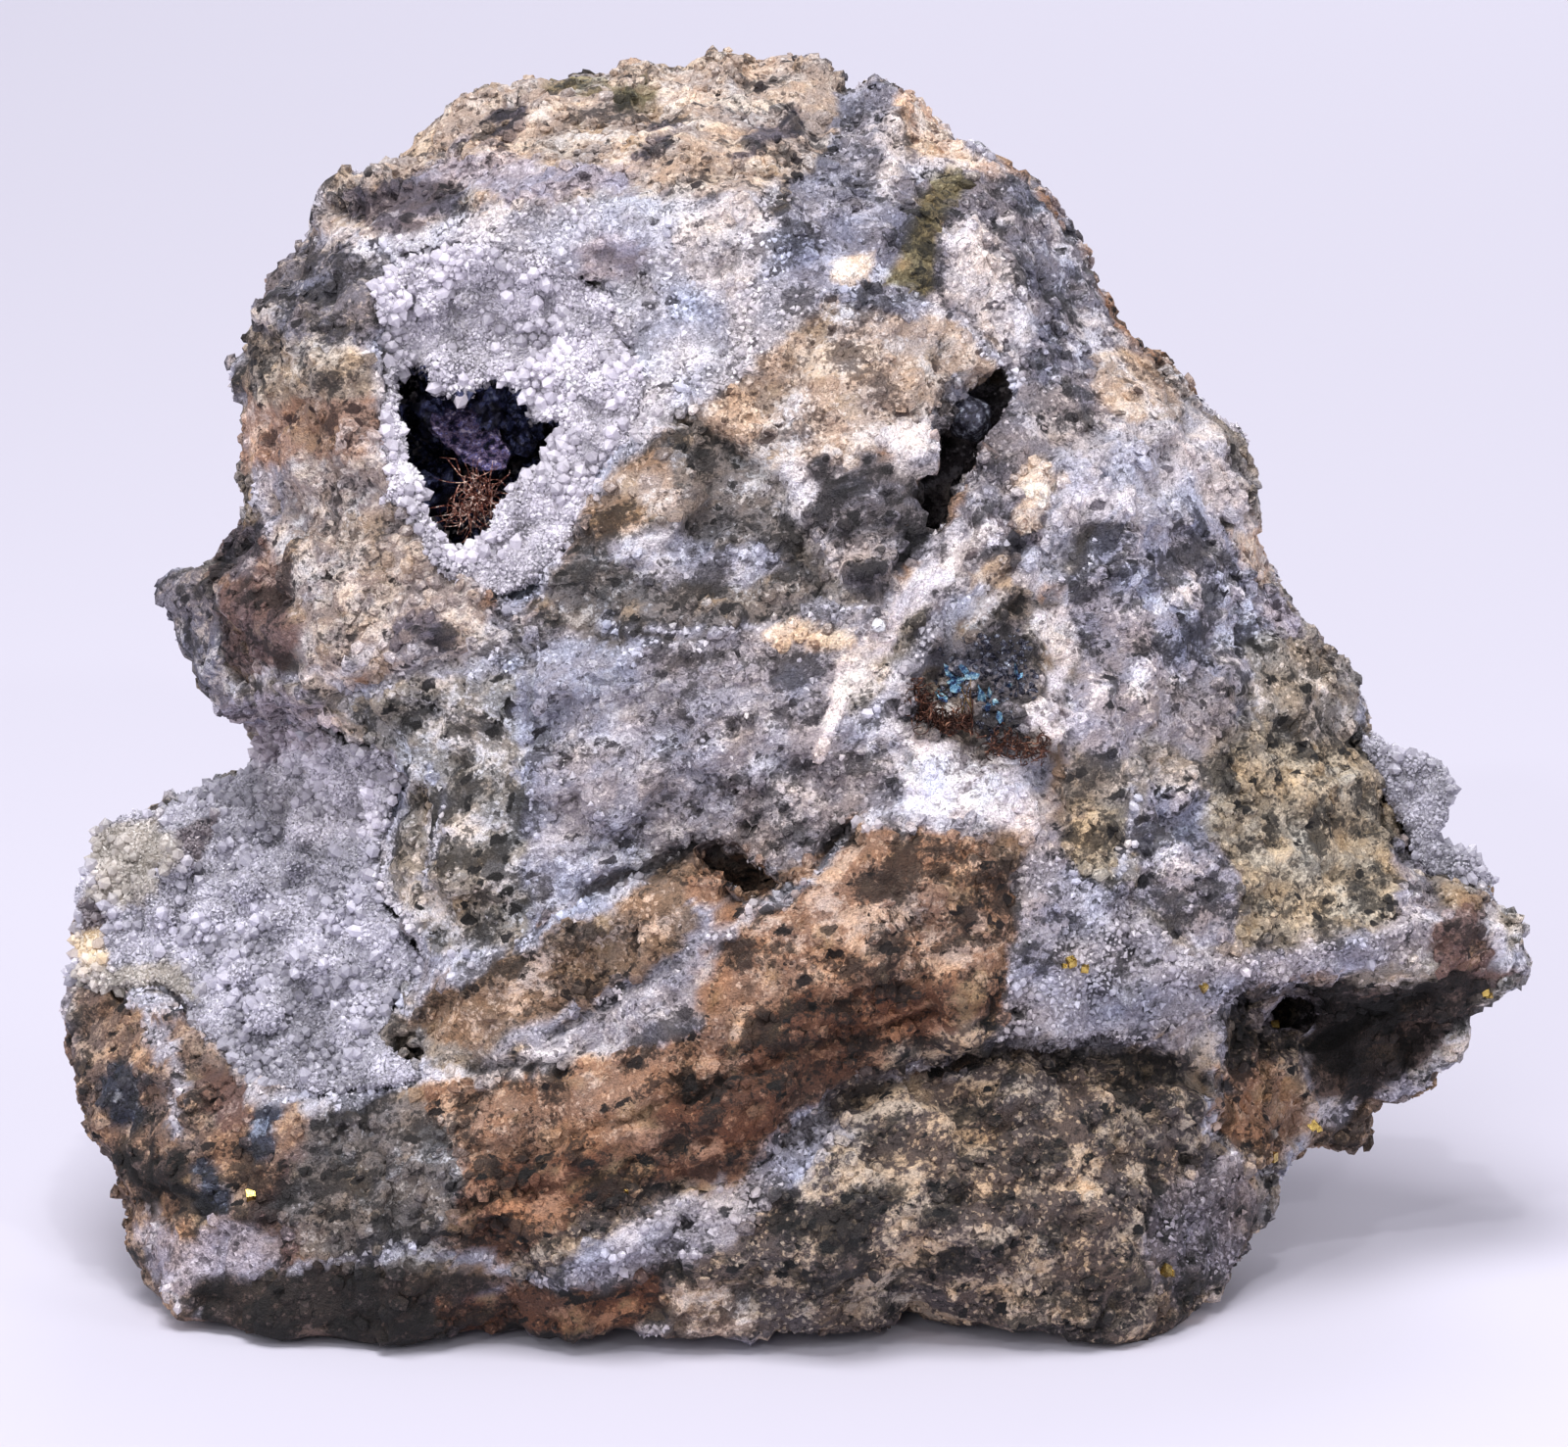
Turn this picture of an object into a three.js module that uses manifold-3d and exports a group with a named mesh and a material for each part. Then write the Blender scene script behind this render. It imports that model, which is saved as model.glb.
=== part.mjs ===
// Wire silver in a small vug of a quartz-cemented breccia: a hand specimen that stands on its own base.
//
// The specimen is drawn the way the photograph shows it. A place is given across (u) and down (v) in the
// photograph's pixels, with its depth (w) in millimetres towards the viewer. seen() turns that into the
// drawing frame, x right, y up and z towards the viewer, and upright turns the drawing frame so that +Z is up.
// All other lengths are millimetres.
import * as THREE from "three";
import { ImprovedNoise } from "three/addons/math/ImprovedNoise.js";
import { mergeVertices } from "three/addons/utils/BufferGeometryUtils.js";
import Module from "manifold-3d";

const wasm = await Module();
wasm.setup();

// Driving dimensions
const SPECIMEN_WIDTH = 80;
const OUTLINE_LEFT_U = 66;
const OUTLINE_RIGHT_U = 1564;
const MM_PER_PX = SPECIMEN_WIDTH / (OUTLINE_RIGHT_U - OUTLINE_LEFT_U);
const PHOTO_CENTRE_U = 800;
const PHOTO_CENTRE_V = 738.5;
const VIEW_DISTANCE = 620;
const VIEW_TILT = THREE.MathUtils.degToRad(14);
const FLOOR_V = 1326;
const GAP = 0.35;

// How coarse each piece's skin is
const ROCK_SPACING = 3;
const BACK_SPACING = 5;
const CRUST_SPACING = 2.5;
const ROCK_EDGE = 1.9;
const ROCK_WALL = 5;
const CRUST_THICKNESS = 1.8;

// The rock's outline, clockwise from the left end of its top face
const ROCK_OUTLINE = [
  [325, 240], [329, 227], [338, 197], [373, 182], [415, 162], [434, 139], [468, 109], [507, 95], [540, 82],
  [598, 72], [644, 67], [686, 78], [744, 67], [774, 76], [801, 67], [832, 67], [855, 76], [861, 94], [872, 103],
  [889, 85], [914, 90], [930, 103], [941, 113], [949, 130], [964, 134], [975, 149], [1006, 160], [1025, 178],
  [1058, 186], [1067, 208], [1086, 235], [1102, 266], [1109, 289], [1132, 315], [1144, 338], [1163, 356],
  [1186, 373], [1213, 398], [1243, 420], [1264, 440], [1270, 455], [1268, 480], [1274, 520], [1283, 551],
  [1294, 586], [1311, 613], [1331, 633], [1347, 658], [1363, 676], [1376, 697], [1385, 720], [1390, 745],
  [1396, 768], [1408, 795], [1428, 826], [1444, 858], [1456, 884], [1484, 898], [1516, 904], [1530, 927],
  [1546, 950], [1564, 979], [1562, 995], [1544, 1002], [1527, 1015], [1507, 1031], [1487, 1060], [1466, 1092],
  [1429, 1119], [1401, 1125], [1384, 1143], [1386, 1161], [1368, 1166], [1340, 1166], [1323, 1182], [1308, 1200],
  [1294, 1218], [1293, 1240], [1274, 1260], [1254, 1288], [1246, 1309], [1229, 1321], [1213, 1345], [1189, 1362],
  [1164, 1372], [1119, 1372], [1082, 1362], [1042, 1353], [1001, 1346], [979, 1345], [946, 1334], [924, 1333],
  [911, 1347], [904, 1362], [865, 1363], [831, 1363], [776, 1362], [717, 1366], [695, 1373], [658, 1369],
  [628, 1359], [602, 1369], [576, 1369], [547, 1359], [524, 1348], [498, 1350], [462, 1360], [433, 1368],
  [411, 1373], [363, 1370], [337, 1364], [312, 1364], [283, 1367], [264, 1360], [239, 1356], [223, 1348],
  [197, 1344], [175, 1335], [159, 1319], [151, 1303], [143, 1287], [136, 1271], [137, 1255], [141, 1238],
  [133, 1220], [121, 1195], [108, 1175], [95, 1159], [92, 1140], [88, 1112], [84, 1089], [76, 1064], [66, 1036],
  [71, 1010], [75, 983], [84, 952], [84, 936], [97, 901], [95, 889], [100, 862], [106, 845], [124, 838],
  [156, 828], [197, 813], [239, 799], [264, 787], [268, 765], [271, 745], [252, 737], [228, 735], [222, 722],
  [203, 708], [194, 685], [182, 659], [174, 636], [165, 613], [166, 597], [178, 586], [205, 578], [224, 567],
  [232, 551], [247, 540], [257, 513], [255, 486], [256, 459], [261, 433], [255, 414], [246, 387], [249, 360],
  [251, 342], [264, 318], [267, 303], [281, 284], [298, 268], [316, 254],
];

// Depth of the front at the outline, then across the face: [u, v, w]
const FRONT_RELIEF = [
  [325, 240, -4], [434, 139, -7], [507, 95, -8], [598, 72, -9], [686, 78, -9], [801, 67, -9], [861, 94, -8],
  [889, 85, -5], [949, 130, -6], [1058, 186, -6], [1102, 266, -5], [1144, 338, -5], [1213, 398, -5],
  [1264, 440, -4], [1274, 520, -4], [1294, 586, -4], [1347, 658, -4], [1385, 720, -5], [1396, 768, -5],
  [1444, 858, -4], [1516, 904, -4], [1564, 979, -1], [1527, 1015, -3], [1466, 1092, -6], [1401, 1125, -8],
  [1386, 1161, -9], [1323, 1182, -5], [1294, 1218, -1], [1246, 1309, 2], [1189, 1362, 7], [1119, 1372, 10],
  [1001, 1346, 9], [924, 1333, 7], [904, 1362, 9], [831, 1363, 10], [695, 1373, 10], [576, 1369, 10],
  [524, 1348, 8], [411, 1373, 10], [283, 1367, 9], [197, 1344, 6], [143, 1287, 2], [108, 1175, 0], [84, 1089, -2],
  [66, 1036, -3], [84, 952, -5], [97, 901, -7], [106, 845, -9], [197, 813, -11], [264, 787, -12], [271, 745, -9],
  [228, 735, -3], [194, 685, -3], [166, 597, -6], [224, 567, -5], [257, 513, -3], [261, 433, -3], [249, 360, -4],
  [281, 284, -4],
  // Top face, sloping back
  [345, 250, 1], [420, 222, 3], [520, 204, 5], [650, 194, 6], [780, 196, 6], [520, 140, -1], [650, 120, -3],
  [780, 112, -4], [850, 165, 0],
  // Right peak and the slope below it
  [897, 118, -2], [860, 240, 5], [940, 210, 3], [1010, 240, 1], [1050, 300, 1], [990, 330, 4], [1090, 350, 0],
  // Quartz scoop around the silver's vug
  [430, 275, 3], [520, 250, 5], [620, 245, 6], [720, 240, 7], [800, 270, 7], [440, 340, 1], [520, 335, 2],
  [600, 320, 3.5], [700, 320, 6], [780, 350, 8], [600, 410, 4.5], [655, 425, 8], [420, 390, 3], [560, 500, 7],
  [500, 585, 8.5],
  // Left pillar and the block that juts out below it
  [300, 330, 3], [355, 320, 5], [295, 420, 3], [350, 430, 6.5], [390, 500, 8], [290, 500, 3], [330, 560, 7],
  [280, 600, 4], [225, 610, 2], [205, 660, 1], [330, 650, 7.5], [400, 620, 9], [455, 660, 10], [250, 700, 3],
  [330, 728, 5], [400, 722, 8],
  // Middle of the face
  [640, 520, 10], [700, 440, 9], [800, 585, 10], [840, 610, 12], [770, 400, 9], [880, 400, 9], [930, 470, 10.5],
  [600, 620, 11], [700, 640, 12], [560, 720, 11], [700, 740, 12.5], [820, 700, 12.5], [900, 600, 12.5],
  [1010, 560, 9], [1060, 460, 6], [1060, 390, 4], [1150, 440, 3], [1210, 500, 1], [1140, 560, 5.5],
  [1240, 610, 0.5], [1080, 640, 8.5], [1190, 680, 6], [1290, 720, 2], [960, 700, 11], [1060, 770, 10.5],
  [1160, 790, 8], [1260, 820, 5], [1350, 820, 0.5], [980, 810, 12], [860, 800, 12.5], [740, 830, 12.5],
  [620, 830, 12], [540, 800, 11],
  // Weathered lumps left of the middle
  [450, 745, 8], [475, 830, 9], [430, 910, 8.5], [520, 900, 11],
  // Druse slope
  [300, 800, -8], [240, 850, -6], [350, 820, -1], [400, 800, 5], [170, 870, -6], [120, 910, -5], [200, 930, -3],
  [280, 900, -2], [350, 900, 2], [250, 990, 1], [340, 980, 4], [170, 990, -1], [110, 990, -2.5], [300, 1060, 5],
  [380, 1040, 7], [215, 1060, 3], [400, 960, 6],
  // Lower left block
  [110, 1060, 1], [160, 1110, 4.5], [130, 1190, 3], [220, 1150, 7], [195, 1250, 7], [300, 1150, 9], [300, 1270, 10],
  [220, 1320, 7], [420, 1130, 10.5], [400, 1270, 12], [340, 1340, 11],
  // Brown clasts, the part nearest the viewer
  [480, 1010, 10], [560, 945, 12.5], [650, 1000, 13], [560, 1070, 12], [705, 950, 13.5], [760, 1000, 14.5],
  [830, 930, 14.5], [900, 870, 14], [990, 910, 14], [1030, 960, 13.5], [900, 1010, 15], [1010, 1040, 14],
  [830, 1090, 15], [700, 1130, 14.5], [560, 1170, 13.5], [620, 1250, 13.5], [490, 1250, 13], [770, 1190, 14],
  [480, 1330, 11.5], [600, 1330, 12.5],
  // Grey vein that forms the ledge
  [1090, 880, 11.5], [1100, 960, 11], [1190, 930, 9], [1150, 1040, 11], [1060, 1050, 13], [1225, 1020, 9.5],
  [1300, 930, 5], [1300, 985, 6], [1390, 900, 1], [1400, 955, 3.5], [1490, 940, 0], [1530, 985, 1],
  // Shaded hollow under the right end of the ledge
  [1250, 1068, 1], [1310, 1035, -5], [1400, 1015, -1], [1470, 1005, 0], [1480, 1045, -4], [1400, 1080, -6],
  [1300, 1120, -3], [1345, 1140, -7], [1262, 1150, 2],
  // Lower right block, set back under the ledge
  [880, 1120, 12], [960, 1100, 9.5], [1080, 1090, 8.5], [1200, 1080, 5.5], [900, 1180, 13.5], [1010, 1160, 12.5],
  [1110, 1170, 11], [1210, 1150, 6.5], [870, 1270, 14], [990, 1260, 13.5], [1110, 1260, 12], [1210, 1240, 7],
  [760, 1290, 13.5], [700, 1335, 12.5], [830, 1335, 12.5], [960, 1310, 11], [1070, 1335, 11.5], [1150, 1335, 10],
];

// Depth of the broken back, which the photograph doesn't show
const BACK_RELIEF = [
  [420, 300, -14], [560, 190, -16], [720, 150, -16], [880, 200, -16], [1010, 300, -15], [1120, 420, -13],
  [1200, 540, -11], [470, 420, -17], [620, 330, -20], [800, 380, -21], [960, 500, -20], [1100, 640, -17],
  [1260, 700, -12], [320, 440, -11], [330, 600, -13], [500, 560, -20], [700, 560, -23], [860, 680, -23],
  [1040, 800, -20], [1200, 860, -16], [1340, 850, -12], [1470, 960, -8], [260, 860, -17], [170, 920, -14],
  [420, 760, -20], [600, 780, -24], [760, 880, -22], [940, 960, -23], [1120, 1000, -19], [1290, 1010, -15],
  [1400, 1060, -12], [140, 1080, -10], [270, 1020, -18], [420, 960, -21], [590, 1020, -22], [240, 1200, -14],
  [460, 1180, -21], [700, 1150, -21], [920, 1180, -22], [1120, 1180, -17], [1240, 1200, -10],
  [210, 1310, -7], [330, 1335, -14], [500, 1325, -19], [700, 1340, -20], [900, 1320, -20], [1080, 1325, -14],
  [1180, 1330, -6],
];

// Steps in the face. Walking along a line, the rock on its right is set back by drop millimetres, and the
// face rises again over reach millimetres
const LEDGES = [
  { line: [[900, 832], [872, 852], [835, 884], [802, 899], [761, 884], [709, 864], [654, 892], [600, 916],
    [560, 950], [517, 969], [480, 985], [440, 1000], [400, 1028]], drop: 1.3, reach: 5 },
  { line: [[1348, 990], [1286, 1012], [1240, 1030], [1221, 1055], [1144, 1070], [1060, 1069], [998, 1069],
    [960, 1084], [880, 1100], [810, 1146], [750, 1196], [690, 1206]].reverse(), drop: 1.8, reach: 4 },
  { line: [[1482, 924], [1427, 945], [1367, 959], [1289, 973], [1220, 984]], drop: 0.8, reach: 3 },
  { line: [[268, 744], [300, 744], [335, 746], [352, 760], [392, 770], [410, 788]], drop: 1.5, reach: 4 },
  { line: [[660, 430], [640, 480], [600, 530], [570, 560], [548, 612]], drop: 0.8, reach: 3 },
  { line: [[1040, 600], [1090, 548], [1180, 528], [1240, 545]], drop: 0.8, reach: 4 },
];

// Rounded lumps of quartz on the face: [u, v, radius across, radius up, radius out]
const ROCK_LUMPS = [[936, 466, 1.1, 1.3, 1.0], [890, 585, 1.6, 0.8, 0.8]];
const VUG_LUMPS = [[556, 384, 1.2, 0.9, 1.2], [462, 372, 1.2, 0.8, 1.0], [600, 452, 0.8, 1.0, 0.8]];

// Openings cut into the face, and how deep each goes: the silver's vug, the slot with the knob, the shallow
// pocket with the tarnished crystals, the hollow under the ledge, the long crack and the small pits
const SILVER_VUG = [
  [409, 384], [420, 372], [437, 380], [440, 407], [475, 404], [504, 390], [531, 401], [548, 411], [534, 424],
  [544, 435], [582, 421], [566, 448], [560, 466], [540, 482], [525, 487], [518, 503], [506, 527], [490, 549],
  [484, 562], [470, 572], [456, 567], [461, 554], [449, 542], [434, 521], [431, 492], [419, 474], [408, 457],
];
const KNOB_SLOT = [
  [972, 404], [1000, 384], [1026, 372], [1033, 392], [1028, 418], [1016, 446], [995, 466], [987, 486],
  [970, 499], [966, 520], [964, 540], [944, 551], [938, 520], [936, 494], [922, 482], [936, 487], [947, 476],
  [960, 464], [953, 448], [962, 434],
];
const TARNISH_POCKET = [
  [932, 706], [948, 690], [962, 668], [985, 658], [1010, 664], [1040, 672], [1058, 694], [1052, 722],
  [1028, 734], [1000, 738], [984, 750], [950, 744], [934, 730],
];
const TUFT_POCKET = [
  [992, 752], [1010, 742], [1050, 740], [1082, 748], [1090, 764], [1074, 782], [1036, 790], [1004, 782],
];
const LEDGE_HOLLOW = [
  [1276, 1048], [1286, 1024], [1310, 1010], [1338, 1006], [1348, 1024], [1336, 1048], [1306, 1056],
];
const LONG_CRACK = [
  [640, 900], [668, 880], [706, 864], [738, 868], [764, 884], [802, 900], [790, 914], [758, 920], [742, 900],
  [704, 876], [672, 890], [646, 908],
];
const PITS = [
  { outline: [[392, 1052], [412, 1056], [436, 1064], [440, 1086], [428, 1088], [412, 1074]], floor: 1 },
  { outline: [[174, 868], [190, 872], [190, 888], [180, 898], [170, 882]], floor: -10 },
  { outline: [[1240, 524], [1256, 526], [1255, 538], [1242, 540]], floor: -6 },
];

// Quartz crusts: the druse slope, the lining around the silver's vug and the crystals on the right edge
const SLOPE_DRUSE = [
  [264, 787], [268, 766], [275, 748], [330, 748], [352, 762], [392, 772], [410, 790], [388, 850], [384, 905],
  [402, 945], [424, 980], [404, 1010], [398, 1044], [384, 1056], [402, 1080], [440, 1100], [380, 1108],
  [300, 1108], [262, 1106], [236, 1078], [206, 1050], [190, 1020], [160, 1000], [112, 1006], [74, 1000],
  [84, 952], [84, 936], [97, 901], [95, 889], [100, 862], [106, 845], [124, 838], [156, 828], [197, 813],
  [239, 799],
];
const VUG_DRUSE = [
  [396, 290], [424, 266], [480, 256], [540, 266], [592, 286], [626, 330], [646, 380], [652, 424], [626, 462],
  [604, 502], [578, 548], [546, 590], [510, 606], [478, 596], [446, 582], [430, 552], [416, 514], [398, 482],
  [392, 430], [396, 380], [390, 330],
];
const EDGE_DRUSE = [
  [1394, 758], [1415, 767], [1433, 777], [1459, 776], [1472, 790], [1479, 806], [1473, 833], [1461, 850],
  [1455, 858], [1475, 871], [1494, 873], [1507, 885], [1512, 902], [1484, 898], [1456, 884], [1444, 858],
  [1428, 826], [1408, 795],
];

// Small pieces in the openings
const PLATE_OUTLINE = [
  [438, 412], [475, 411], [492, 424], [508, 443], [522, 464], [515, 478], [491, 481], [472, 472], [455, 453],
  [440, 438],
];
const PLATE = { nearV: 482, near: 3.2, farV: 408, far: 0.2, thickness: 1.0 };
const NEST = { u: 479, v: 512, w: 2.4, size: [1.15, 1.35, 1.1], reach: 1.35, wires: 9, wireRadius: 0.2 };
const MAT = { u: 958, v: 722, w: 11.9, size: [1.3, 0.75, 0.6], reach: 1.2, wires: 5, wireRadius: 0.15 };
const TUFT = { u: 1034, v: 760, w: 12.0, size: [1.5, 0.4, 0.5], reach: 1.2, wires: 4, wireRadius: 0.15 };
const KNOB = { u: 990, v: 428, w: 3.4, radius: 1.25 };
const BLADES = { u: 1002, v: 694, w: 10.9, count: 7, spread: 1.5, length: 1.5, width: 0.34 };

const noise = new ImprovedNoise();
const pick = (seed) => THREE.MathUtils.seededRandom(seed);

// A repeatable stream of numbers from 0 to 1
function stream(seed) {
  let n = seed * 1000;
  return () => pick(n++);
}

function seen(u, v, w) {
  const scale = MM_PER_PX * (1 - w / VIEW_DISTANCE);
  return new THREE.Vector3((u - PHOTO_CENTRE_U) * scale, (PHOTO_CENTRE_V - v) * scale, w);
}

// How far a place is from a line of straight pieces, in millimetres, and on which side of it
function besideLine(line, u, v) {
  const here = new THREE.Vector3(u, v, 0);
  const near = new THREE.Vector3();
  const piece = new THREE.Line3();
  let best = { distance: Infinity, right: false };
  for (let i = 0; i + 1 < line.length; i++) {
    piece.start.set(line[i][0], line[i][1], 0);
    piece.end.set(line[i + 1][0], line[i + 1][1], 0);
    piece.closestPointToPoint(here, true, near);
    const distance = near.distanceTo(here) * MM_PER_PX;
    if (distance >= best.distance) continue;
    const along = piece.end.clone().sub(piece.start);
    best = { distance, right: along.x * (v - line[i][1]) - along.y * (u - line[i][0]) > 0 };
  }
  return best;
}

function inside(outline, u, v) {
  let odd = false;
  outline.forEach(([au, av], i) => {
    const [bu, bv] = outline[(i + 1) % outline.length];
    if (av > v !== bv > v && u < ((bu - au) * (v - av)) / (bv - av) + au) odd = !odd;
  });
  return odd;
}

function distanceToOutline(outline, u, v) {
  const here = new THREE.Vector3(u, v, 0);
  const near = new THREE.Vector3();
  const edge = new THREE.Line3();
  let least = Infinity;
  outline.forEach(([au, av], i) => {
    const [bu, bv] = outline[(i + 1) % outline.length];
    edge.start.set(au, av, 0);
    edge.end.set(bu, bv, 0);
    edge.closestPointToPoint(here, true, near);
    least = Math.min(least, near.distanceTo(here));
  });
  return least;
}

// A triangle of a Delaunay net, with its circumcircle
function circled(points, a, b, c) {
  const [ax, ay] = points[a];
  const [bx, by] = points[b];
  const [cx, cy] = points[c];
  const twice = 2 * ((bx - ax) * (cy - ay) - (by - ay) * (cx - ax));
  const b2 = (bx - ax) ** 2 + (by - ay) ** 2;
  const c2 = (cx - ax) ** 2 + (cy - ay) ** 2;
  const x = ((cy - ay) * b2 - (by - ay) * c2) / twice;
  const y = ((bx - ax) * c2 - (cx - ax) * b2) / twice;
  const corners = twice > 0 ? [a, b, c] : [a, c, b];
  return { corners, x: ax + x, y: ay + y, r2: x * x + y * y };
}

// Delaunay triangles of the points, each as three indices
function delaunay(points) {
  const far = 1e5;
  const all = [...points, [-far, -far], [far, -far], [0, far]];
  const n = points.length;
  let net = [circled(all, n, n + 1, n + 2)];
  for (let i = 0; i < n; i++) {
    const [x, y] = all[i];
    const rim = new Map();
    const kept = [];
    for (const t of net) {
      if ((x - t.x) ** 2 + (y - t.y) ** 2 >= t.r2) {
        kept.push(t);
        continue;
      }
      t.corners.forEach((a, k) => {
        const b = t.corners[(k + 1) % 3];
        const key = Math.min(a, b) * all.length + Math.max(a, b);
        if (!rim.delete(key)) rim.set(key, [a, b]);
      });
    }
    for (const [a, b] of rim.values()) kept.push(circled(all, a, b, i));
    net = kept;
  }
  return net.map((t) => t.corners).filter((corners) => corners.every((c) => c < n));
}

// A surface of flat facets through the given [u, v, w] points, as a function of u and v
function faceted(relief) {
  const net = delaunay(relief.map(([u, v], i) => [u + pick(i), v + pick(i + 500)]));
  const nearest = (u, v) => {
    let sum = 0;
    let weights = 0;
    for (const [pu, pv, pw] of relief) {
      const weight = 1 / ((pu - u) ** 2 + (pv - v) ** 2 + 1) ** 2;
      sum += pw * weight;
      weights += weight;
    }
    return sum / weights;
  };
  return (u, v) => {
    for (const corners of net) {
      const [p, q, r] = corners.map((c) => relief[c]);
      const area = (q[0] - p[0]) * (r[1] - p[1]) - (q[1] - p[1]) * (r[0] - p[0]);
      const a = ((q[0] - u) * (r[1] - v) - (q[1] - v) * (r[0] - u)) / area;
      const b = ((r[0] - u) * (p[1] - v) - (r[1] - v) * (p[0] - u)) / area;
      if (a >= 0 && b >= 0 && a + b <= 1) return a * p[2] + b * q[2] + (1 - a - b) * r[2];
    }
    return nearest(u, v);
  };
}

// Chips of broken rock: each cell of an uneven grid leans its own way
function chips(u, v, size, lean) {
  let nearest = { d: Infinity };
  for (const du of [-1, 0, 1]) {
    for (const dv of [-1, 0, 1]) {
      const cu = Math.floor(u / size) + du;
      const cv = Math.floor(v / size) + dv;
      const seed = cu * 71 + cv * 193 + size;
      const su = (cu + pick(seed)) * size;
      const sv = (cv + pick(seed + 0.3)) * size;
      const d = Math.hypot(u - su, v - sv);
      if (d < nearest.d) nearest = { d, seed, du: u - su, dv: v - sv };
    }
  }
  const leanU = (pick(nearest.seed + 0.5) - 0.5) * lean;
  const leanV = (pick(nearest.seed + 0.7) - 0.5) * lean;
  return (nearest.du * leanU + nearest.dv * leanV) * MM_PER_PX;
}

const frontFacets = faceted(FRONT_RELIEF);
const rim = ROCK_OUTLINE.map(([u, v], i) => {
  const wall = ROCK_WALL * (1 + 0.5 * noise.noise(u / 90, v / 90, i * 0.01));
  return [u, v, frontFacets(u, v) - wall];
});
const backFacets = faceted([...rim, ...BACK_RELIEF]);
const roughness = (u, v) => noise.noise(u / 45, v / 45, 2) * 0.5 + noise.noise(u / 18, v / 18, 5) * 0.25;

const stepped = (u, v) => LEDGES.reduce((sum, { line, drop, reach }) => {
  const { distance, right } = besideLine(line, u, v);
  return right && distance < reach ? sum - drop * (1 - distance / reach) : sum;
}, 0);
// Chips and roughness fade towards the outline, so that its edge runs on without saw teeth
const fading = (u, v) => 0.3 + 0.7 * THREE.MathUtils.smoothstep(distanceToOutline(ROCK_OUTLINE, u, v), 0, 60);
const frontOf = (u, v) => {
  return frontFacets(u, v) + stepped(u, v) + fading(u, v) * (chips(u, v, 64, 0.7) + roughness(u, v));
};
const backOf = (u, v) => {
  return backFacets(u, v) + fading(u, v) * (chips(u, v, 110, 0.6) + 2 * roughness(u + 900, v));
};

// Points in pairs along each ledge, one at its brink and one at its foot
function ledgePoints() {
  const spacing = 1.7 / MM_PER_PX;
  const aside = 0.22 / MM_PER_PX;
  const points = [];
  for (const { line } of LEDGES) {
    const path = new THREE.CurvePath();
    for (let i = 0; i + 1 < line.length; i++) {
      path.add(new THREE.LineCurve(new THREE.Vector2(...line[i]), new THREE.Vector2(...line[i + 1])));
    }
    const count = Math.round(path.getLength() / spacing);
    for (let i = 0; i <= count; i++) {
      const at = path.getPoint((i / count) * 0.999);
      const way = path.getTangent((i / count) * 0.999);
      points.push([at.x - way.y * aside, at.y + way.x * aside], [at.x + way.y * aside, at.y - way.x * aside]);
    }
  }
  return points;
}

function scattered(outline, spacing, seed) {
  const step = spacing / MM_PER_PX;
  const random = stream(seed);
  const us = outline.map((p) => p[0]);
  const vs = outline.map((p) => p[1]);
  const points = [];
  let row = 0;
  for (let v = Math.min(...vs); v < Math.max(...vs); v += step * 0.87) {
    row++;
    for (let u = Math.min(...us) + (row % 2) * step * 0.5; u < Math.max(...us); u += step) {
      const pu = u + (random() - 0.5) * step * 0.6;
      const pv = v + (random() - 0.5) * step * 0.6;
      if (inside(outline, pu, pv) && distanceToOutline(outline, pu, pv) > step * 0.55) points.push([pu, pv]);
    }
  }
  return points;
}

// An outline with its long edges broken in two, so that a net of small triangles keeps every edge of it
function divided(outline, longest) {
  const halved = outline.flatMap(([u, v], i) => {
    const [nu, nv] = outline[(i + 1) % outline.length];
    if (Math.hypot(nu - u, nv - v) * MM_PER_PX <= longest) return [[u, v]];
    const chance = pick(i + 0.1) - 0.5;
    const aside = Math.sign(chance) * (0.03 + 0.12 * Math.abs(chance));
    return [[u, v], [(u + nu) / 2 + (nv - v) * aside, (v + nv) / 2 - (nu - u) * aside]];
  });
  return halved.length > outline.length ? divided(halved, longest) : halved;
}

// The net of triangles that fills an outline; its first points are the outline's own
function netOf(drawn, spacing, seed, fixed = []) {
  const outline = divided(drawn, Math.min(spacing, ROCK_EDGE));
  const clear = (spacing * 0.55) / MM_PER_PX;
  const held = fixed.filter(([u, v]) => inside(outline, u, v) && distanceToOutline(outline, u, v) > clear);
  const free = scattered(outline, spacing, seed).filter(([u, v]) => {
    return held.every(([hu, hv]) => Math.hypot(hu - u, hv - v) > clear);
  });
  const points = [...outline, ...held, ...free];
  const triangles = delaunay(points).filter((corners) => {
    const u = corners.reduce((sum, c) => sum + points[c][0], 0) / 3;
    const v = corners.reduce((sum, c) => sum + points[c][1], 0) / 3;
    return inside(outline, u, v);
  });
  return { outline, points, triangles };
}

// Points of a net, with its outline moved outwards
function grown(net, grow) {
  const count = net.outline.length;
  const area = net.outline.reduce((sum, [u, v], i) => {
    const [nu, nv] = net.outline[(i + 1) % count];
    return sum + u * nv - nu * v;
  }, 0);
  const out = (Math.sign(area) * grow) / MM_PER_PX;
  return net.points.map(([u, v], i) => {
    if (i >= count || grow === 0) return [u, v];
    const [au, av] = net.points[(i + count - 1) % count];
    const [bu, bv] = net.points[(i + 1) % count];
    const length = Math.hypot(bu - au, bv - av);
    return [u + ((bv - av) / length) * out, v - ((bu - au) / length) * out];
  });
}

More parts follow.
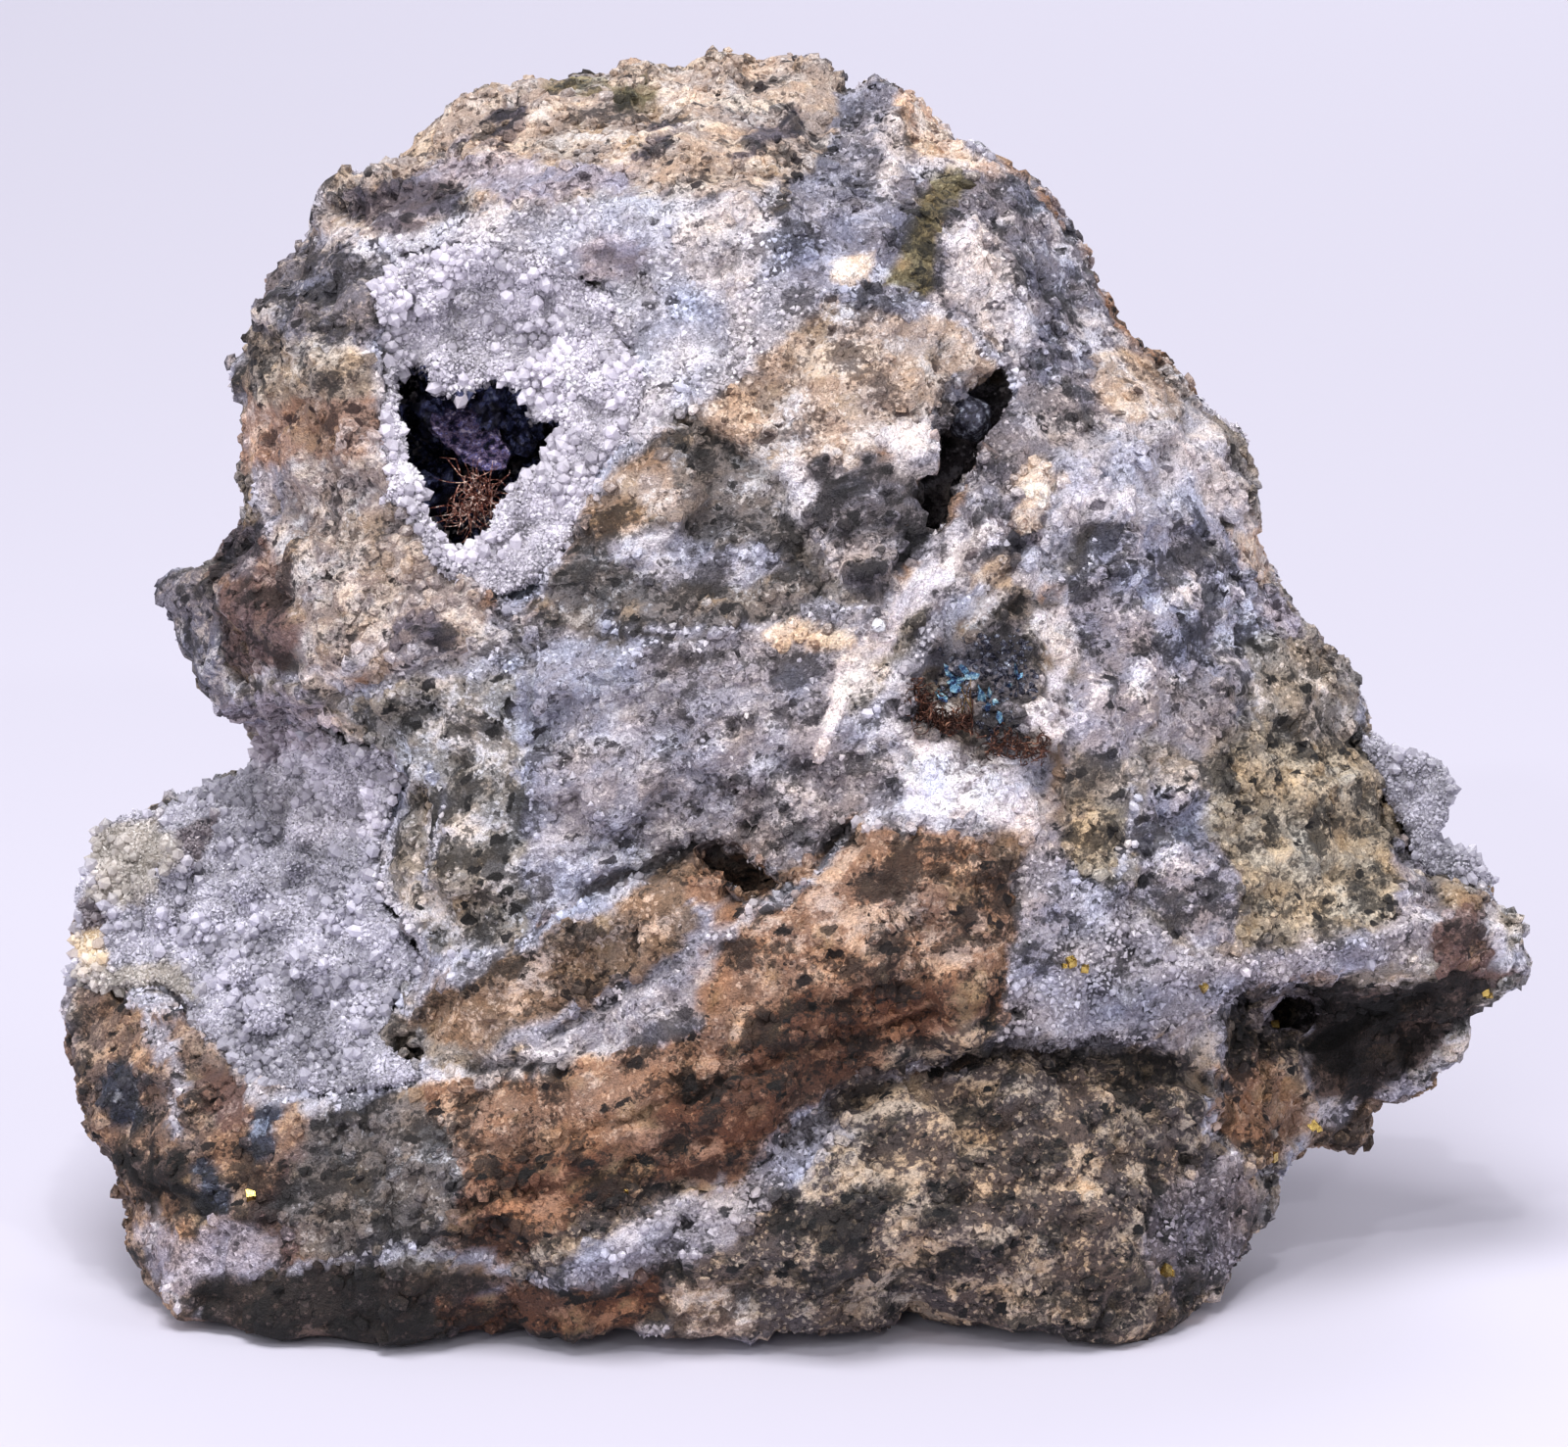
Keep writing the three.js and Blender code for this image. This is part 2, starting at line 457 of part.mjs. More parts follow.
// A closed slab between two surfaces; the front and the back may have nets of their own on one outline
function slab(frontNet, front, backNet, back, grow = 0) {
  const position = [];
  const index = [];
  const add = (net, depth, facingFront) => {
    const start = position.length / 3;
    grown(net, grow).forEach(([u, v], i) => {
      const [ru, rv] = net.points[i];
      position.push(...seen(u, v, depth(ru, rv)).toArray());
    });
    for (const [a, b, c] of net.triangles) {
      index.push(start + a, ...(facingFront ? [start + c, start + b] : [start + b, start + c]));
    }
    return start;
  };
  const near = add(frontNet, front, true);
  const far = add(backNet, back, false);
  const count = frontNet.outline.length;
  const area = frontNet.outline.reduce((sum, [u, v], i) => {
    const [nu, nv] = frontNet.outline[(i + 1) % count];
    return sum + u * nv - nu * v;
  }, 0);
  for (let i = 0; i < count; i++) {
    const j = (i + 1) % count;
    const [a, b] = area > 0 ? [i, j] : [j, i];
    index.push(near + a, near + b, far + b, near + a, far + b, far + a);
  }
  return new THREE.BufferGeometry()
    .setAttribute("position", new THREE.BufferAttribute(new Float32Array(position), 3))
    .setIndex(index);
}

function solid(geometry) {
  const bare = geometry.clone();
  bare.deleteAttribute("normal");
  bare.deleteAttribute("uv");
  const merged = mergeVertices(bare, 1e-3);
  return new wasm.Manifold(
    new wasm.Mesh({
      numProp: 3,
      vertProperties: new Float32Array(merged.attributes.position.array),
      triVerts: new Uint32Array(merged.index.array),
    }),
  );
}

function skin(manifold) {
  const mesh = manifold.getMesh();
  const position = new Float32Array(mesh.numVert * 3);
  for (let i = 0; i < mesh.numVert; i++) {
    position.set(mesh.vertProperties.subarray(i * mesh.numProp, i * mesh.numProp + 3), i * 3);
  }
  return new THREE.BufferGeometry()
    .setAttribute("position", new THREE.BufferAttribute(position, 3))
    .setIndex(new THREE.BufferAttribute(mesh.triVerts, 1));
}

// A pit with an outline, from its floor out past the face
function pitTool(outline, floor, grow = 0) {
  const past = 30;
  const net = netOf(outline, CRUST_SPACING, 3);
  return solid(slab(net, () => past, net, (u, v) => floor + 2 * roughness(u * 2, v * 2), grow));
}

// The floor that the base was ground down on: four flat patches touch it, and it rises a little between them
function floorTool() {
  const size = 120;
  const patches = [
    [-26, -3], [18, -3], [-13, 13], [9, 12],
  ];
  const patchRadius = 9;
  const rise = 1.3;
  const block = new THREE.BoxGeometry(size, size, size, 24, 24, 1);
  block.translate(0, 0, -size / 2);
  const place = block.getAttribute("position");
  for (let i = 0; i < place.count; i++) {
    const x = place.getX(i);
    const y = place.getY(i);
    if (place.getZ(i) < -1) continue;
    const off = Math.min(...patches.map(([px, py]) => Math.hypot(x - px, y - py)));
    const uneven = 0.8 + 0.5 * noise.noise(x / 7, y / 7, 3);
    place.setZ(i, rise * THREE.MathUtils.smoothstep(off, patchRadius, patchRadius + 5) * uneven);
  }
  block.rotateX(VIEW_TILT - Math.PI / 2);
  const floor = seen(PHOTO_CENTRE_U, FLOOR_V, 0);
  block.translate(floor.x, floor.y, floor.z);
  return solid(block);
}

// A six-sided quartz crystal with a pointed end, standing on its root
function quartzPoint(radius, length) {
  const root = 1.0;
  const shoulder = length - radius * 1.1;
  const profile = [[0, -root], [radius, -root], [radius, shoulder], [0, length]];
  return new THREE.LatheGeometry(profile.map(([x, y]) => new THREE.Vector2(x, y)), 6);
}

// Which way a surface faces at a place
function facing(depth, u, v) {
  const step = 14;
  const across = seen(u + step, v, depth(u + step, v)).sub(seen(u - step, v, depth(u - step, v)));
  const up = seen(u, v - step, depth(u, v - step)).sub(seen(u, v + step, depth(u, v + step)));
  return across.cross(up).normalize();
}

function withLumps(body, lumps) {
  return lumps.reduce((whole, [u, v, across, high, out]) => {
    const lump = new THREE.IcosahedronGeometry(1, 1);
    lump.scale(across, high, out);
    const centre = seen(u, v, frontOf(u, v));
    return whole.add(solid(lump.translate(centre.x, centre.y, centre.z)));
  }, body);
}

// A crust of quartz that follows the rock, with crystals grown on it; clearance is the bed it lies in
function crust(outline, { seed, spread, margin, radius, length, avoid = [], lumps = [] }) {
  const net = netOf(outline, CRUST_SPACING, seed);
  const bed = (u, v) => frontOf(u, v) - CRUST_THICKNESS;
  let body = withLumps(solid(slab(net, frontOf, net, bed)), lumps);
  const room = solid(slab(net, () => 30, net, bed));
  const below = solid(slab(net, () => 29, net, (u, v) => bed(u, v) - 1.5 * GAP));
  const atRim = (u, v) => distanceToOutline(net.outline, u, v) < 1;
  const around = solid(slab(net, () => 30, net, (u, v) => bed(u, v) - (atRim(u, v) ? 4 : 0.7) * GAP, GAP));
  const clearance = below.add(around);
  const random = stream(seed + 40);
  const up = new THREE.Vector3(0, 1, 0);
  for (const [u, v] of scattered(outline, spread, seed + 9)) {
    const edge = distanceToOutline(outline, u, v) * MM_PER_PX;
    const blocked = avoid.some((a) => inside(a, u, v) || distanceToOutline(a, u, v) * MM_PER_PX < radius);
    if (edge < margin || blocked) continue;
    const way = facing(frontOf, u, v);
    way.add(new THREE.Vector3(random() - 0.5, random() - 0.5, 0.3).multiplyScalar(0.7)).normalize();
    const crystal = quartzPoint(radius * (0.7 + 0.6 * random()), length * (0.6 + 0.7 * random()));
    crystal.rotateY(random() * Math.PI);
    crystal.applyQuaternion(new THREE.Quaternion().setFromUnitVectors(up, way));
    const place = seen(u, v, frontOf(u, v));
    crystal.translate(place.x, place.y, place.z);
    body = body.add(solid(crystal));
  }
  return { body: body.intersect(room), clearance };
}

// One curling wire, from a point out to its tip
function wire(root, tip, curl, radius) {
  const steps = 4;
  const middle = root.clone().lerp(tip, 0.5).add(curl);
  const path = new THREE.CatmullRomCurve3([root, middle, tip]);
  const section = new THREE.Shape();
  for (let i = 0; i < 5; i++) {
    const turn = (i / 5) * 2 * Math.PI;
    const at = [Math.cos(turn) * radius, Math.sin(turn) * radius];
    if (i === 0) section.moveTo(...at);
    else section.lineTo(...at);
  }
  return new THREE.ExtrudeGeometry(section, { steps, extrudePath: path, curveSegments: 1, bevelEnabled: false });
}

// Matted wires: a low lump with wires that curl out of it, no further than reach times its size
function wireMat({ u, v, w, size, wires, wireRadius, reach }, seed) {
  const random = stream(seed);
  const place = seen(u, v, w);
  const lump = new THREE.IcosahedronGeometry(1, 1);
  lump.scale(...size);
  lump.translate(place.x, place.y, place.z);
  let body = solid(lump);
  const spot = (k) => {
    const way = new THREE.Vector3(random() - 0.5, random() - 0.5, random() - 0.2).normalize();
    return way.multiply(new THREE.Vector3(...size)).multiplyScalar(k).add(place);
  };
  for (let i = 0; i < wires; i++) {
    const curl = new THREE.Vector3(random() - 0.5, random() - 0.5, random()).multiplyScalar(size[1] * 0.6);
    body = body.add(solid(wire(spot(0.3), spot(reach), curl, wireRadius)));
  }
  return body;
}

// Bladed crystals that fan out of one root
function blades({ u, v, w, count, spread, length, width }) {
  const random = stream(77);
  const place = seen(u, v, w);
  const root = new THREE.IcosahedronGeometry(1, 0);
  root.scale(spread, spread * 0.6, 0.6);
  root.translate(place.x, place.y, place.z);
  let body = solid(root);
  for (let i = 0; i < count; i++) {
    const blade = new THREE.CylinderGeometry(width * 0.35, width, length, 4);
    blade.scale(1.6, 1, 0.7);
    blade.translate(0, length * 0.4, 0);
    blade.rotateZ((random() - 0.5) * 1.8);
    blade.rotateX(0.6 + random() * 0.8);
    const across = ((i + 0.5) / count - 0.5) * 2 * spread * 0.8;
    blade.translate(place.x + across, place.y + (random() - 0.5) * spread * 0.5, place.z);
    body = body.add(solid(blade));
  }
  return body;
}

function knob({ u, v, w, radius }) {
  const ball = mergeVertices(new THREE.IcosahedronGeometry(radius, 2).deleteAttribute("normal").deleteAttribute("uv"));
  const place = ball.getAttribute("position");
  const at = new THREE.Vector3();
  for (let i = 0; i < place.count; i++) {
    at.fromBufferAttribute(place, i);
    at.multiplyScalar(1 + 0.1 * noise.noise(at.x * 2, at.y * 2, at.z * 2));
    place.setXYZ(i, at.x, at.y, at.z);
  }
  const centre = seen(u, v, w);
  return solid(ball.translate(centre.x, centre.y, centre.z));
}

function plate({ nearV, near, farV, far, thickness }) {
  const net = netOf(PLATE_OUTLINE, 1.3, 5);
  const face = (u, v) => THREE.MathUtils.mapLinear(v, farV, nearV, far, near) + 0.8 * roughness(u * 3, v * 3);
  return solid(slab(net, face, net, (u, v) => face(u, v) - thickness));
}

// Rock, cut to its floor and opened for each crust, vug and pit
const vugTool = pitTool(SILVER_VUG, -5, GAP);
const slope = crust(SLOPE_DRUSE, { seed: 11, spread: 3.1, margin: 0.9, radius: 0.72, length: 1.7 });
const lining = crust(VUG_DRUSE, {
  seed: 23, spread: 2.9, margin: 0.9, radius: 0.62, length: 1.3, avoid: [SILVER_VUG], lumps: VUG_LUMPS,
});
const edgeNet = netOf(EDGE_DRUSE, 1.4, 31);
const edgeFace = (u, v) => -5.2 + 1.6 * roughness(u * 2.4, v * 2.4);
const edge = solid(slab(edgeNet, edgeFace, edgeNet, (u, v) => edgeFace(u, v) - 4.2));
const edgeClearance = solid(slab(edgeNet, () => 30, edgeNet, () => -40, GAP));

const rockFrontNet = netOf(ROCK_OUTLINE, ROCK_SPACING, 1, ledgePoints());
const rockBackNet = netOf(ROCK_OUTLINE, BACK_SPACING, 2);
let rock = solid(slab(rockFrontNet, frontOf, rockBackNet, backOf))
  .subtract(slope.clearance)
  .subtract(lining.clearance)
  .subtract(edgeClearance)
  .subtract(vugTool)
  .subtract(pitTool(KNOB_SLOT, -3, GAP))
  .subtract(pitTool(TARNISH_POCKET, 9.4, GAP))
  .subtract(pitTool(TUFT_POCKET, 10.2, GAP))
  .subtract(pitTool(LEDGE_HOLLOW, -9))
  .subtract(pitTool(LONG_CRACK, 8))
  .subtract(floorTool());
for (const pit of PITS) rock = rock.subtract(pitTool(pit.outline, pit.floor));
rock = withLumps(rock, ROCK_LUMPS);

const PIECES = [
  ["matrix", rock, 0x6d6862, 0.9, 0],
  ["slope_druse", slope.body, 0xb9bac2, 0.3, 0],
  ["vug_druse", lining.body.subtract(vugTool), 0xc3c4cb, 0.3, 0],
  ["edge_druse", edge, 0xa9a6ad, 0.35, 0],
  ["silver_wire_nest", wireMat(NEST, 5), 0x8a5a40, 0.35, 1],
  ["silver_wire_mat", wireMat(MAT, 6), 0x5a2f22, 0.5, 0.7],
  ["silver_wire_tuft", wireMat(TUFT, 7), 0x4a3626, 0.5, 0.7],
  ["acanthite_plate", plate(PLATE), 0x3d3650, 0.35, 0.8],
  ["acanthite_knob", knob(KNOB), 0x1c2029, 0.3, 0.8],
  ["acanthite_blades", blades(BLADES), 0x3e6c8c, 0.25, 0.9],
];

// The group stands the drawing frame upright, with the origin under the middle of the specimen
const upright = new THREE.Group();
for (const [name, body, color, rough, metalness] of PIECES) {
  const finish = new THREE.MeshStandardMaterial({ color, roughness: rough, metalness, flatShading: true });
  const mesh = new THREE.Mesh(skin(body), finish);
  mesh.name = name;
  upright.add(mesh);
}
upright.rotation.x = Math.PI / 2 - VIEW_TILT;

const specimen = new THREE.Group();
specimen.add(upright);
specimen.updateMatrixWorld(true);
const extent = new THREE.Box3().setFromObject(specimen, true);
const middle = extent.getCenter(new THREE.Vector3());
upright.position.set(-middle.x, -middle.y, -extent.min.z);

export default specimen;
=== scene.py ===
"""Wire silver in a vug of quartz-cemented breccia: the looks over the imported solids."""
import math
import random

import bmesh
import bpy
import numpy as np
from mathutils import Matrix, Vector
from mathutils.bvhtree import BVHTree


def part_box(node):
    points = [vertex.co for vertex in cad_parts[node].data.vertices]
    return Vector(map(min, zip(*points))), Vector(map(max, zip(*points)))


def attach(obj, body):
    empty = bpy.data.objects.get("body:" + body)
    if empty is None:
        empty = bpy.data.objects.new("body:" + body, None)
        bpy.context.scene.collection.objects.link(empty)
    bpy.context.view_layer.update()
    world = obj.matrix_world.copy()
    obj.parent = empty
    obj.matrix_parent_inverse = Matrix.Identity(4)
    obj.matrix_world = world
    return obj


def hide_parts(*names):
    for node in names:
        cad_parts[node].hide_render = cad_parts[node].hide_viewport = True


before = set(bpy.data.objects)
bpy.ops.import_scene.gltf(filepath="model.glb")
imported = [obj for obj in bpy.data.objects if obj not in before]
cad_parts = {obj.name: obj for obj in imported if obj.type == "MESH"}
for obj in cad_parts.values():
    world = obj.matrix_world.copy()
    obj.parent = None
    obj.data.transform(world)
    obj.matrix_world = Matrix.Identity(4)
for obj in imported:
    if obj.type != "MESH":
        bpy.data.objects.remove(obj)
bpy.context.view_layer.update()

MM = 0.001

# The specimen was drawn across (u) and down (v) in the photograph's pixels, with its depth (w) in
# millimetres towards the viewer, who looks down at it by VIEW_TILT from VIEW_DISTANCE
PIXEL = 80 / 1498
CENTRE = (800, 738.5)
PHOTO_SIZE = (1600, 1477)
VIEW_DISTANCE = 620
VIEW_TILT = math.radians(14)
DRAWING_ORIGIN = np.array((-0.694, -2.288, 30.443))
RIGHT = np.array((1.0, 0.0, 0.0))
UP = np.array((0.0, math.sin(VIEW_TILT), math.cos(VIEW_TILT)))
TOWARDS = np.array((0.0, -math.cos(VIEW_TILT), math.sin(VIEW_TILT)))

# How fine each skin is, in millimetres
ROCK_GRID = 0.45
CRUST_GRID = 0.3
SMALL_GRID = 0.07

# The clusters and knots of crystals that the crusts are made of, in millimetres across
CLUSTER = 2.4
KNOT = 1.1


def seen(u, v, w):
    """The place in the row's frame, in millimetres, of a drawn place."""
    scale = PIXEL * (1 - w / VIEW_DISTANCE)
    return DRAWING_ORIGIN + (u - CENTRE[0]) * scale * RIGHT + (CENTRE[1] - v) * scale * UP + w * TOWARDS


def drawn(places):
    """The drawn places (u, v, w) of an array of places in millimetres."""
    off = places - DRAWING_ORIGIN
    w = off @ TOWARDS
    scale = PIXEL * (1 - w / VIEW_DISTANCE)
    return CENTRE[0] + (off @ RIGHT) / scale, CENTRE[1] - (off @ UP) / scale, w


# Chance and grain

# Farther than anything measured here, and a length that only keeps a division from failing
FAR = 1e6
TINY = 1e-9


def hashed(i, j, k, seed):
    """Repeatable numbers from 0 to 1 for arrays of whole numbers. The large factors only mix the bits."""
    n = (i * 374761393 + j * 668265263 + k * 1440662683 + seed * 974634777) & 0xFFFFFFFF
    n = ((n ^ (n >> 13)) * 1274126177) & 0xFFFFFFFF
    n = ((n ^ (n >> 16)) * 668265263) & 0xFFFFFFFF
    return ((n ^ (n >> 15)) & 0xFFFFF) / 0xFFFFF


def lumps(places, size, seed):
    """Smooth lumps of about this size, from -1 to 1."""
    q = places / size
    i = np.floor(q).astype(np.int64)
    f = q - i
    f = f * f * (3 - 2 * f)
    total = np.zeros(len(places))
    for a in (0, 1):
        for b in (0, 1):
            for c in (0, 1):
                share = np.abs(1 - a - f[:, 0]) * np.abs(1 - b - f[:, 1]) * np.abs(1 - c - f[:, 2])
                total += share * hashed(i[:, 0] + a, i[:, 1] + b, i[:, 2] + c, seed)
    return total * 2 - 1


def rough(places, size, seed, octaves=3):
    """Lumps on lumps, each half the size of the last."""
    total = np.zeros(len(places))
    for step in range(octaves):
        total += lumps(places, size / 2 ** step, seed + step) / 2 ** step
    return total


def cells(places, size, seed):
    """For each place: how far the nearest and the next cell centre are, the way from the nearest to the
    place, and that cell's chances."""
    q = places / size
    i = np.floor(q).astype(np.int64)
    near = np.full(len(places), FAR)
    next_near = np.full(len(places), FAR)
    way = np.zeros((len(places), 3))
    chance = np.zeros((len(places), 3))
    for a in (-1, 0, 1):
        for b in (-1, 0, 1):
            for c in (-1, 0, 1):
                at = (i[:, 0] + a, i[:, 1] + b, i[:, 2] + c)
                centre = np.stack([at[n] + hashed(*at, seed + n) for n in range(3)], 1)
                off = q - centre
                distance = np.sqrt((off ** 2).sum(1))
                closer = distance < near
                next_near = np.where(closer, near, np.minimum(next_near, distance))
                near = np.where(closer, distance, near)
                way[closer] = off[closer]
                chance[closer] = np.stack([hashed(*at, seed + 7 + n) for n in range(3)], 1)[closer]
    return near * size, next_near * size, way * size, chance


def broken(places, size, lean, seed):
    """Height of flat chips: each cell is a plane that leans its own way."""
    _, _, way, chance = cells(places, size, seed)
    return (way * (chance - 0.5)).sum(1) * 2 * lean


def ramp(x, low, high):
    """0 below low, 1 above high, and a smooth rise between them."""
    t = np.clip((x - low) / (high - low), 0, 1)
    return t * t * (3 - 2 * t)


def from_line(u, v, line, closed=False):
    """Distance in pixels of each drawn place from a line of straight pieces."""
    least = np.full(len(u), FAR)
    ends = line[1:] + line[:1] if closed else line[1:]
    for (au, av), (bu, bv) in zip(line, ends):
        du, dv = bu - au, bv - av
        t = np.clip(((u - au) * du + (v - av) * dv) / (du * du + dv * dv + TINY), 0, 1)
        least = np.minimum(least, np.hypot(u - au - t * du, v - av - t * dv))
    return least


def within(u, v, outline):
    """Distance in pixels inside an outline, negative outside it."""
    odd = np.zeros(len(u), bool)
    for (au, av), (bu, bv) in zip(outline, outline[1:] + outline[:1]):
        crosses = (av > v) != (bv > v)
        odd ^= crosses & (u < (bu - au) * (v - av) / (bv - av + TINY) + au)
    return np.where(odd, 1, -1) * from_line(u, v, outline, True)


# The rock's colours
# The tones are read as lit, and the rock's own shade takes light away. So the dark tone is made darker
# and the middle and light tones are made lighter, by these factors
TONE_LIFT = (0.54, 1.37, 1.38)
# Each kind of rock: dark, middle and light colour, how much of it is dark and light specks, and how
# sugary (drusy) its quartz is
KINDS = {
    "tan_weathered": ((0.27, 0.22, 0.22), (0.66, 0.58, 0.53), (0.85, 0.78, 0.72), 0.24, 0.30, 0.1),
    "black_patch": ((0.16, 0.14, 0.18), (0.32, 0.29, 0.32), (0.62, 0.58, 0.60), 0.45, 0.12, 0.1),
    "mauve_grey": ((0.38, 0.34, 0.38), (0.60, 0.56, 0.60), (0.80, 0.76, 0.80), 0.20, 0.25, 0.4),
    "olive_patch": ((0.20, 0.18, 0.12), (0.38, 0.34, 0.24), (0.60, 0.55, 0.42), 0.35, 0.12, 0.1),
    "blue_grey": ((0.26, 0.25, 0.29), (0.43, 0.42, 0.47), (0.66, 0.65, 0.71), 0.25, 0.25, 0.6),
    "orange_tan": ((0.46, 0.35, 0.30), (0.75, 0.63, 0.56), (0.92, 0.84, 0.78), 0.20, 0.34, 0.1),
    "shoulder": ((0.24, 0.23, 0.26), (0.44, 0.42, 0.46), (0.80, 0.78, 0.82), 0.40, 0.20, 0.4),
    "white_quartz": ((0.50, 0.47, 0.50), (0.73, 0.70, 0.72), (0.92, 0.88, 0.89), 0.16, 0.38, 0.55),
    "pink_white": ((0.62, 0.57, 0.59), (0.90, 0.85, 0.87), (0.98, 0.94, 0.94), 0.10, 0.38, 0.5),
    "vein_quartz": ((0.42, 0.41, 0.45), (0.61, 0.60, 0.65), (0.84, 0.83, 0.88), 0.20, 0.30, 0.9),
    "lilac_quartz": ((0.55, 0.53, 0.57), (0.71, 0.69, 0.73), (0.88, 0.86, 0.90), 0.15, 0.25, 0.5),
    "pillar_dark": ((0.22, 0.20, 0.22), (0.42, 0.40, 0.43), (0.72, 0.67, 0.65), 0.40, 0.18, 0.2),
    "pillar_cream": ((0.17, 0.14, 0.14), (0.54, 0.48, 0.43), (0.77, 0.70, 0.63), 0.32, 0.24, 0.1),
    "rust": ((0.32, 0.21, 0.18), (0.56, 0.44, 0.38), (0.77, 0.66, 0.60), 0.25, 0.20, 0.1),
    "beige": ((0.28, 0.24, 0.24), (0.56, 0.50, 0.48), (0.80, 0.74, 0.70), 0.25, 0.28, 0.2),
    "peach": ((0.66, 0.53, 0.46), (0.88, 0.77, 0.68), (0.98, 0.91, 0.84), 0.12, 0.30, 0.1),
    "brown_block": ((0.20, 0.13, 0.12), (0.38, 0.29, 0.27), (0.62, 0.53, 0.50), 0.35, 0.12, 0.1),
    "olive_block": ((0.12, 0.10, 0.09), (0.52, 0.49, 0.46), (0.84, 0.80, 0.78), 0.40, 0.26, 0.2),
    "centre_dark": ((0.17, 0.15, 0.15), (0.40, 0.37, 0.36), (0.72, 0.70, 0.70), 0.42, 0.15, 0.2),
    "triangle_dark": ((0.15, 0.13, 0.15), (0.34, 0.32, 0.34), (0.65, 0.62, 0.64), 0.45, 0.12, 0.2),
    "tan_clast": ((0.44, 0.37, 0.34), (0.67, 0.59, 0.54), (0.86, 0.80, 0.76), 0.22, 0.30, 0.1),
    "grey_zone": ((0.28, 0.26, 0.28), (0.47, 0.44, 0.46), (0.75, 0.71, 0.72), 0.32, 0.28, 0.55),
    "slate": ((0.20, 0.19, 0.23), (0.56, 0.54, 0.59), (0.87, 0.85, 0.89), 0.42, 0.18, 0.3),
    "pepper": ((0.24, 0.22, 0.22), (0.49, 0.46, 0.44), (0.76, 0.71, 0.68), 0.32, 0.22, 0.2),
    "field": ((0.33, 0.31, 0.34), (0.55, 0.53, 0.57), (0.77, 0.75, 0.78), 0.28, 0.22, 0.5),
    "grey_vein": ((0.32, 0.31, 0.34), (0.56, 0.54, 0.58), (0.76, 0.74, 0.78), 0.24, 0.24, 0.9),
    "brown_clast": ((0.15, 0.09, 0.07), (0.53, 0.40, 0.32), (0.76, 0.63, 0.54), 0.34, 0.22, 0.0),
    # A deep brown with painted shade in it, for the lower half of the brown clast and the bottom edge
    "shaded_brown": ((0.07, 0.03, 0.02), (0.31, 0.19, 0.13), (0.56, 0.41, 0.32), 0.38, 0.18, 0.0),
    "second_clast": ((0.20, 0.14, 0.10), (0.47, 0.38, 0.31), (0.75, 0.65, 0.58), 0.34, 0.20, 0.0),
    "cream_block": ((0.07, 0.06, 0.07), (0.29, 0.25, 0.24), (0.72, 0.63, 0.54), 0.38, 0.28, 0.1),
    "tan_block": ((0.13, 0.10, 0.10), (0.40, 0.33, 0.30), (0.68, 0.57, 0.49), 0.36, 0.24, 0.1),
    "galena": ((0.07, 0.08, 0.11), (0.16, 0.17, 0.22), (0.50, 0.53, 0.60), 0.45, 0.12, 0.4),
    # The foot is near black: painted shade for the underside and the recess under the right ledge
    "foot": ((0.04, 0.02, 0.02), (0.12, 0.09, 0.08), (0.33, 0.27, 0.25), 0.42, 0.18, 0.0),
    "vug_wall": ((0.08, 0.07, 0.08), (0.34, 0.31, 0.33), (0.64, 0.61, 0.64), 0.34, 0.26, 0.6),
    "druse": ((0.46, 0.46, 0.50), (0.64, 0.63, 0.68), (0.82, 0.81, 0.86), 0.20, 0.30, 1.0),
    "cream_druse": ((0.45, 0.43, 0.41), (0.66, 0.63, 0.60), (0.80, 0.77, 0.75), 0.14, 0.30, 0.8),
    # A lighter druse; under the slope's overhang it serves as painted light
    "bright_druse": ((0.50, 0.49, 0.53), (0.74, 0.72, 0.77), (0.93, 0.91, 0.95), 0.15, 0.35, 1.0),
    "dull_quartz": ((0.13, 0.12, 0.13), (0.33, 0.30, 0.32), (0.60, 0.56, 0.59), 0.34, 0.20, 0.7),
    "warm_tan": ((0.19, 0.14, 0.12), (0.46, 0.36, 0.30), (0.70, 0.57, 0.47), 0.32, 0.26, 0.0),
    "pepper_tan": ((0.18, 0.16, 0.15), (0.56, 0.51, 0.44), (0.78, 0.71, 0.61), 0.38, 0.34, 0.1),
    "yellow_stain": ((0.74, 0.58, 0.36), (0.84, 0.74, 0.60), (0.92, 0.87, 0.80), 0.20, 0.30, 0.4),
}

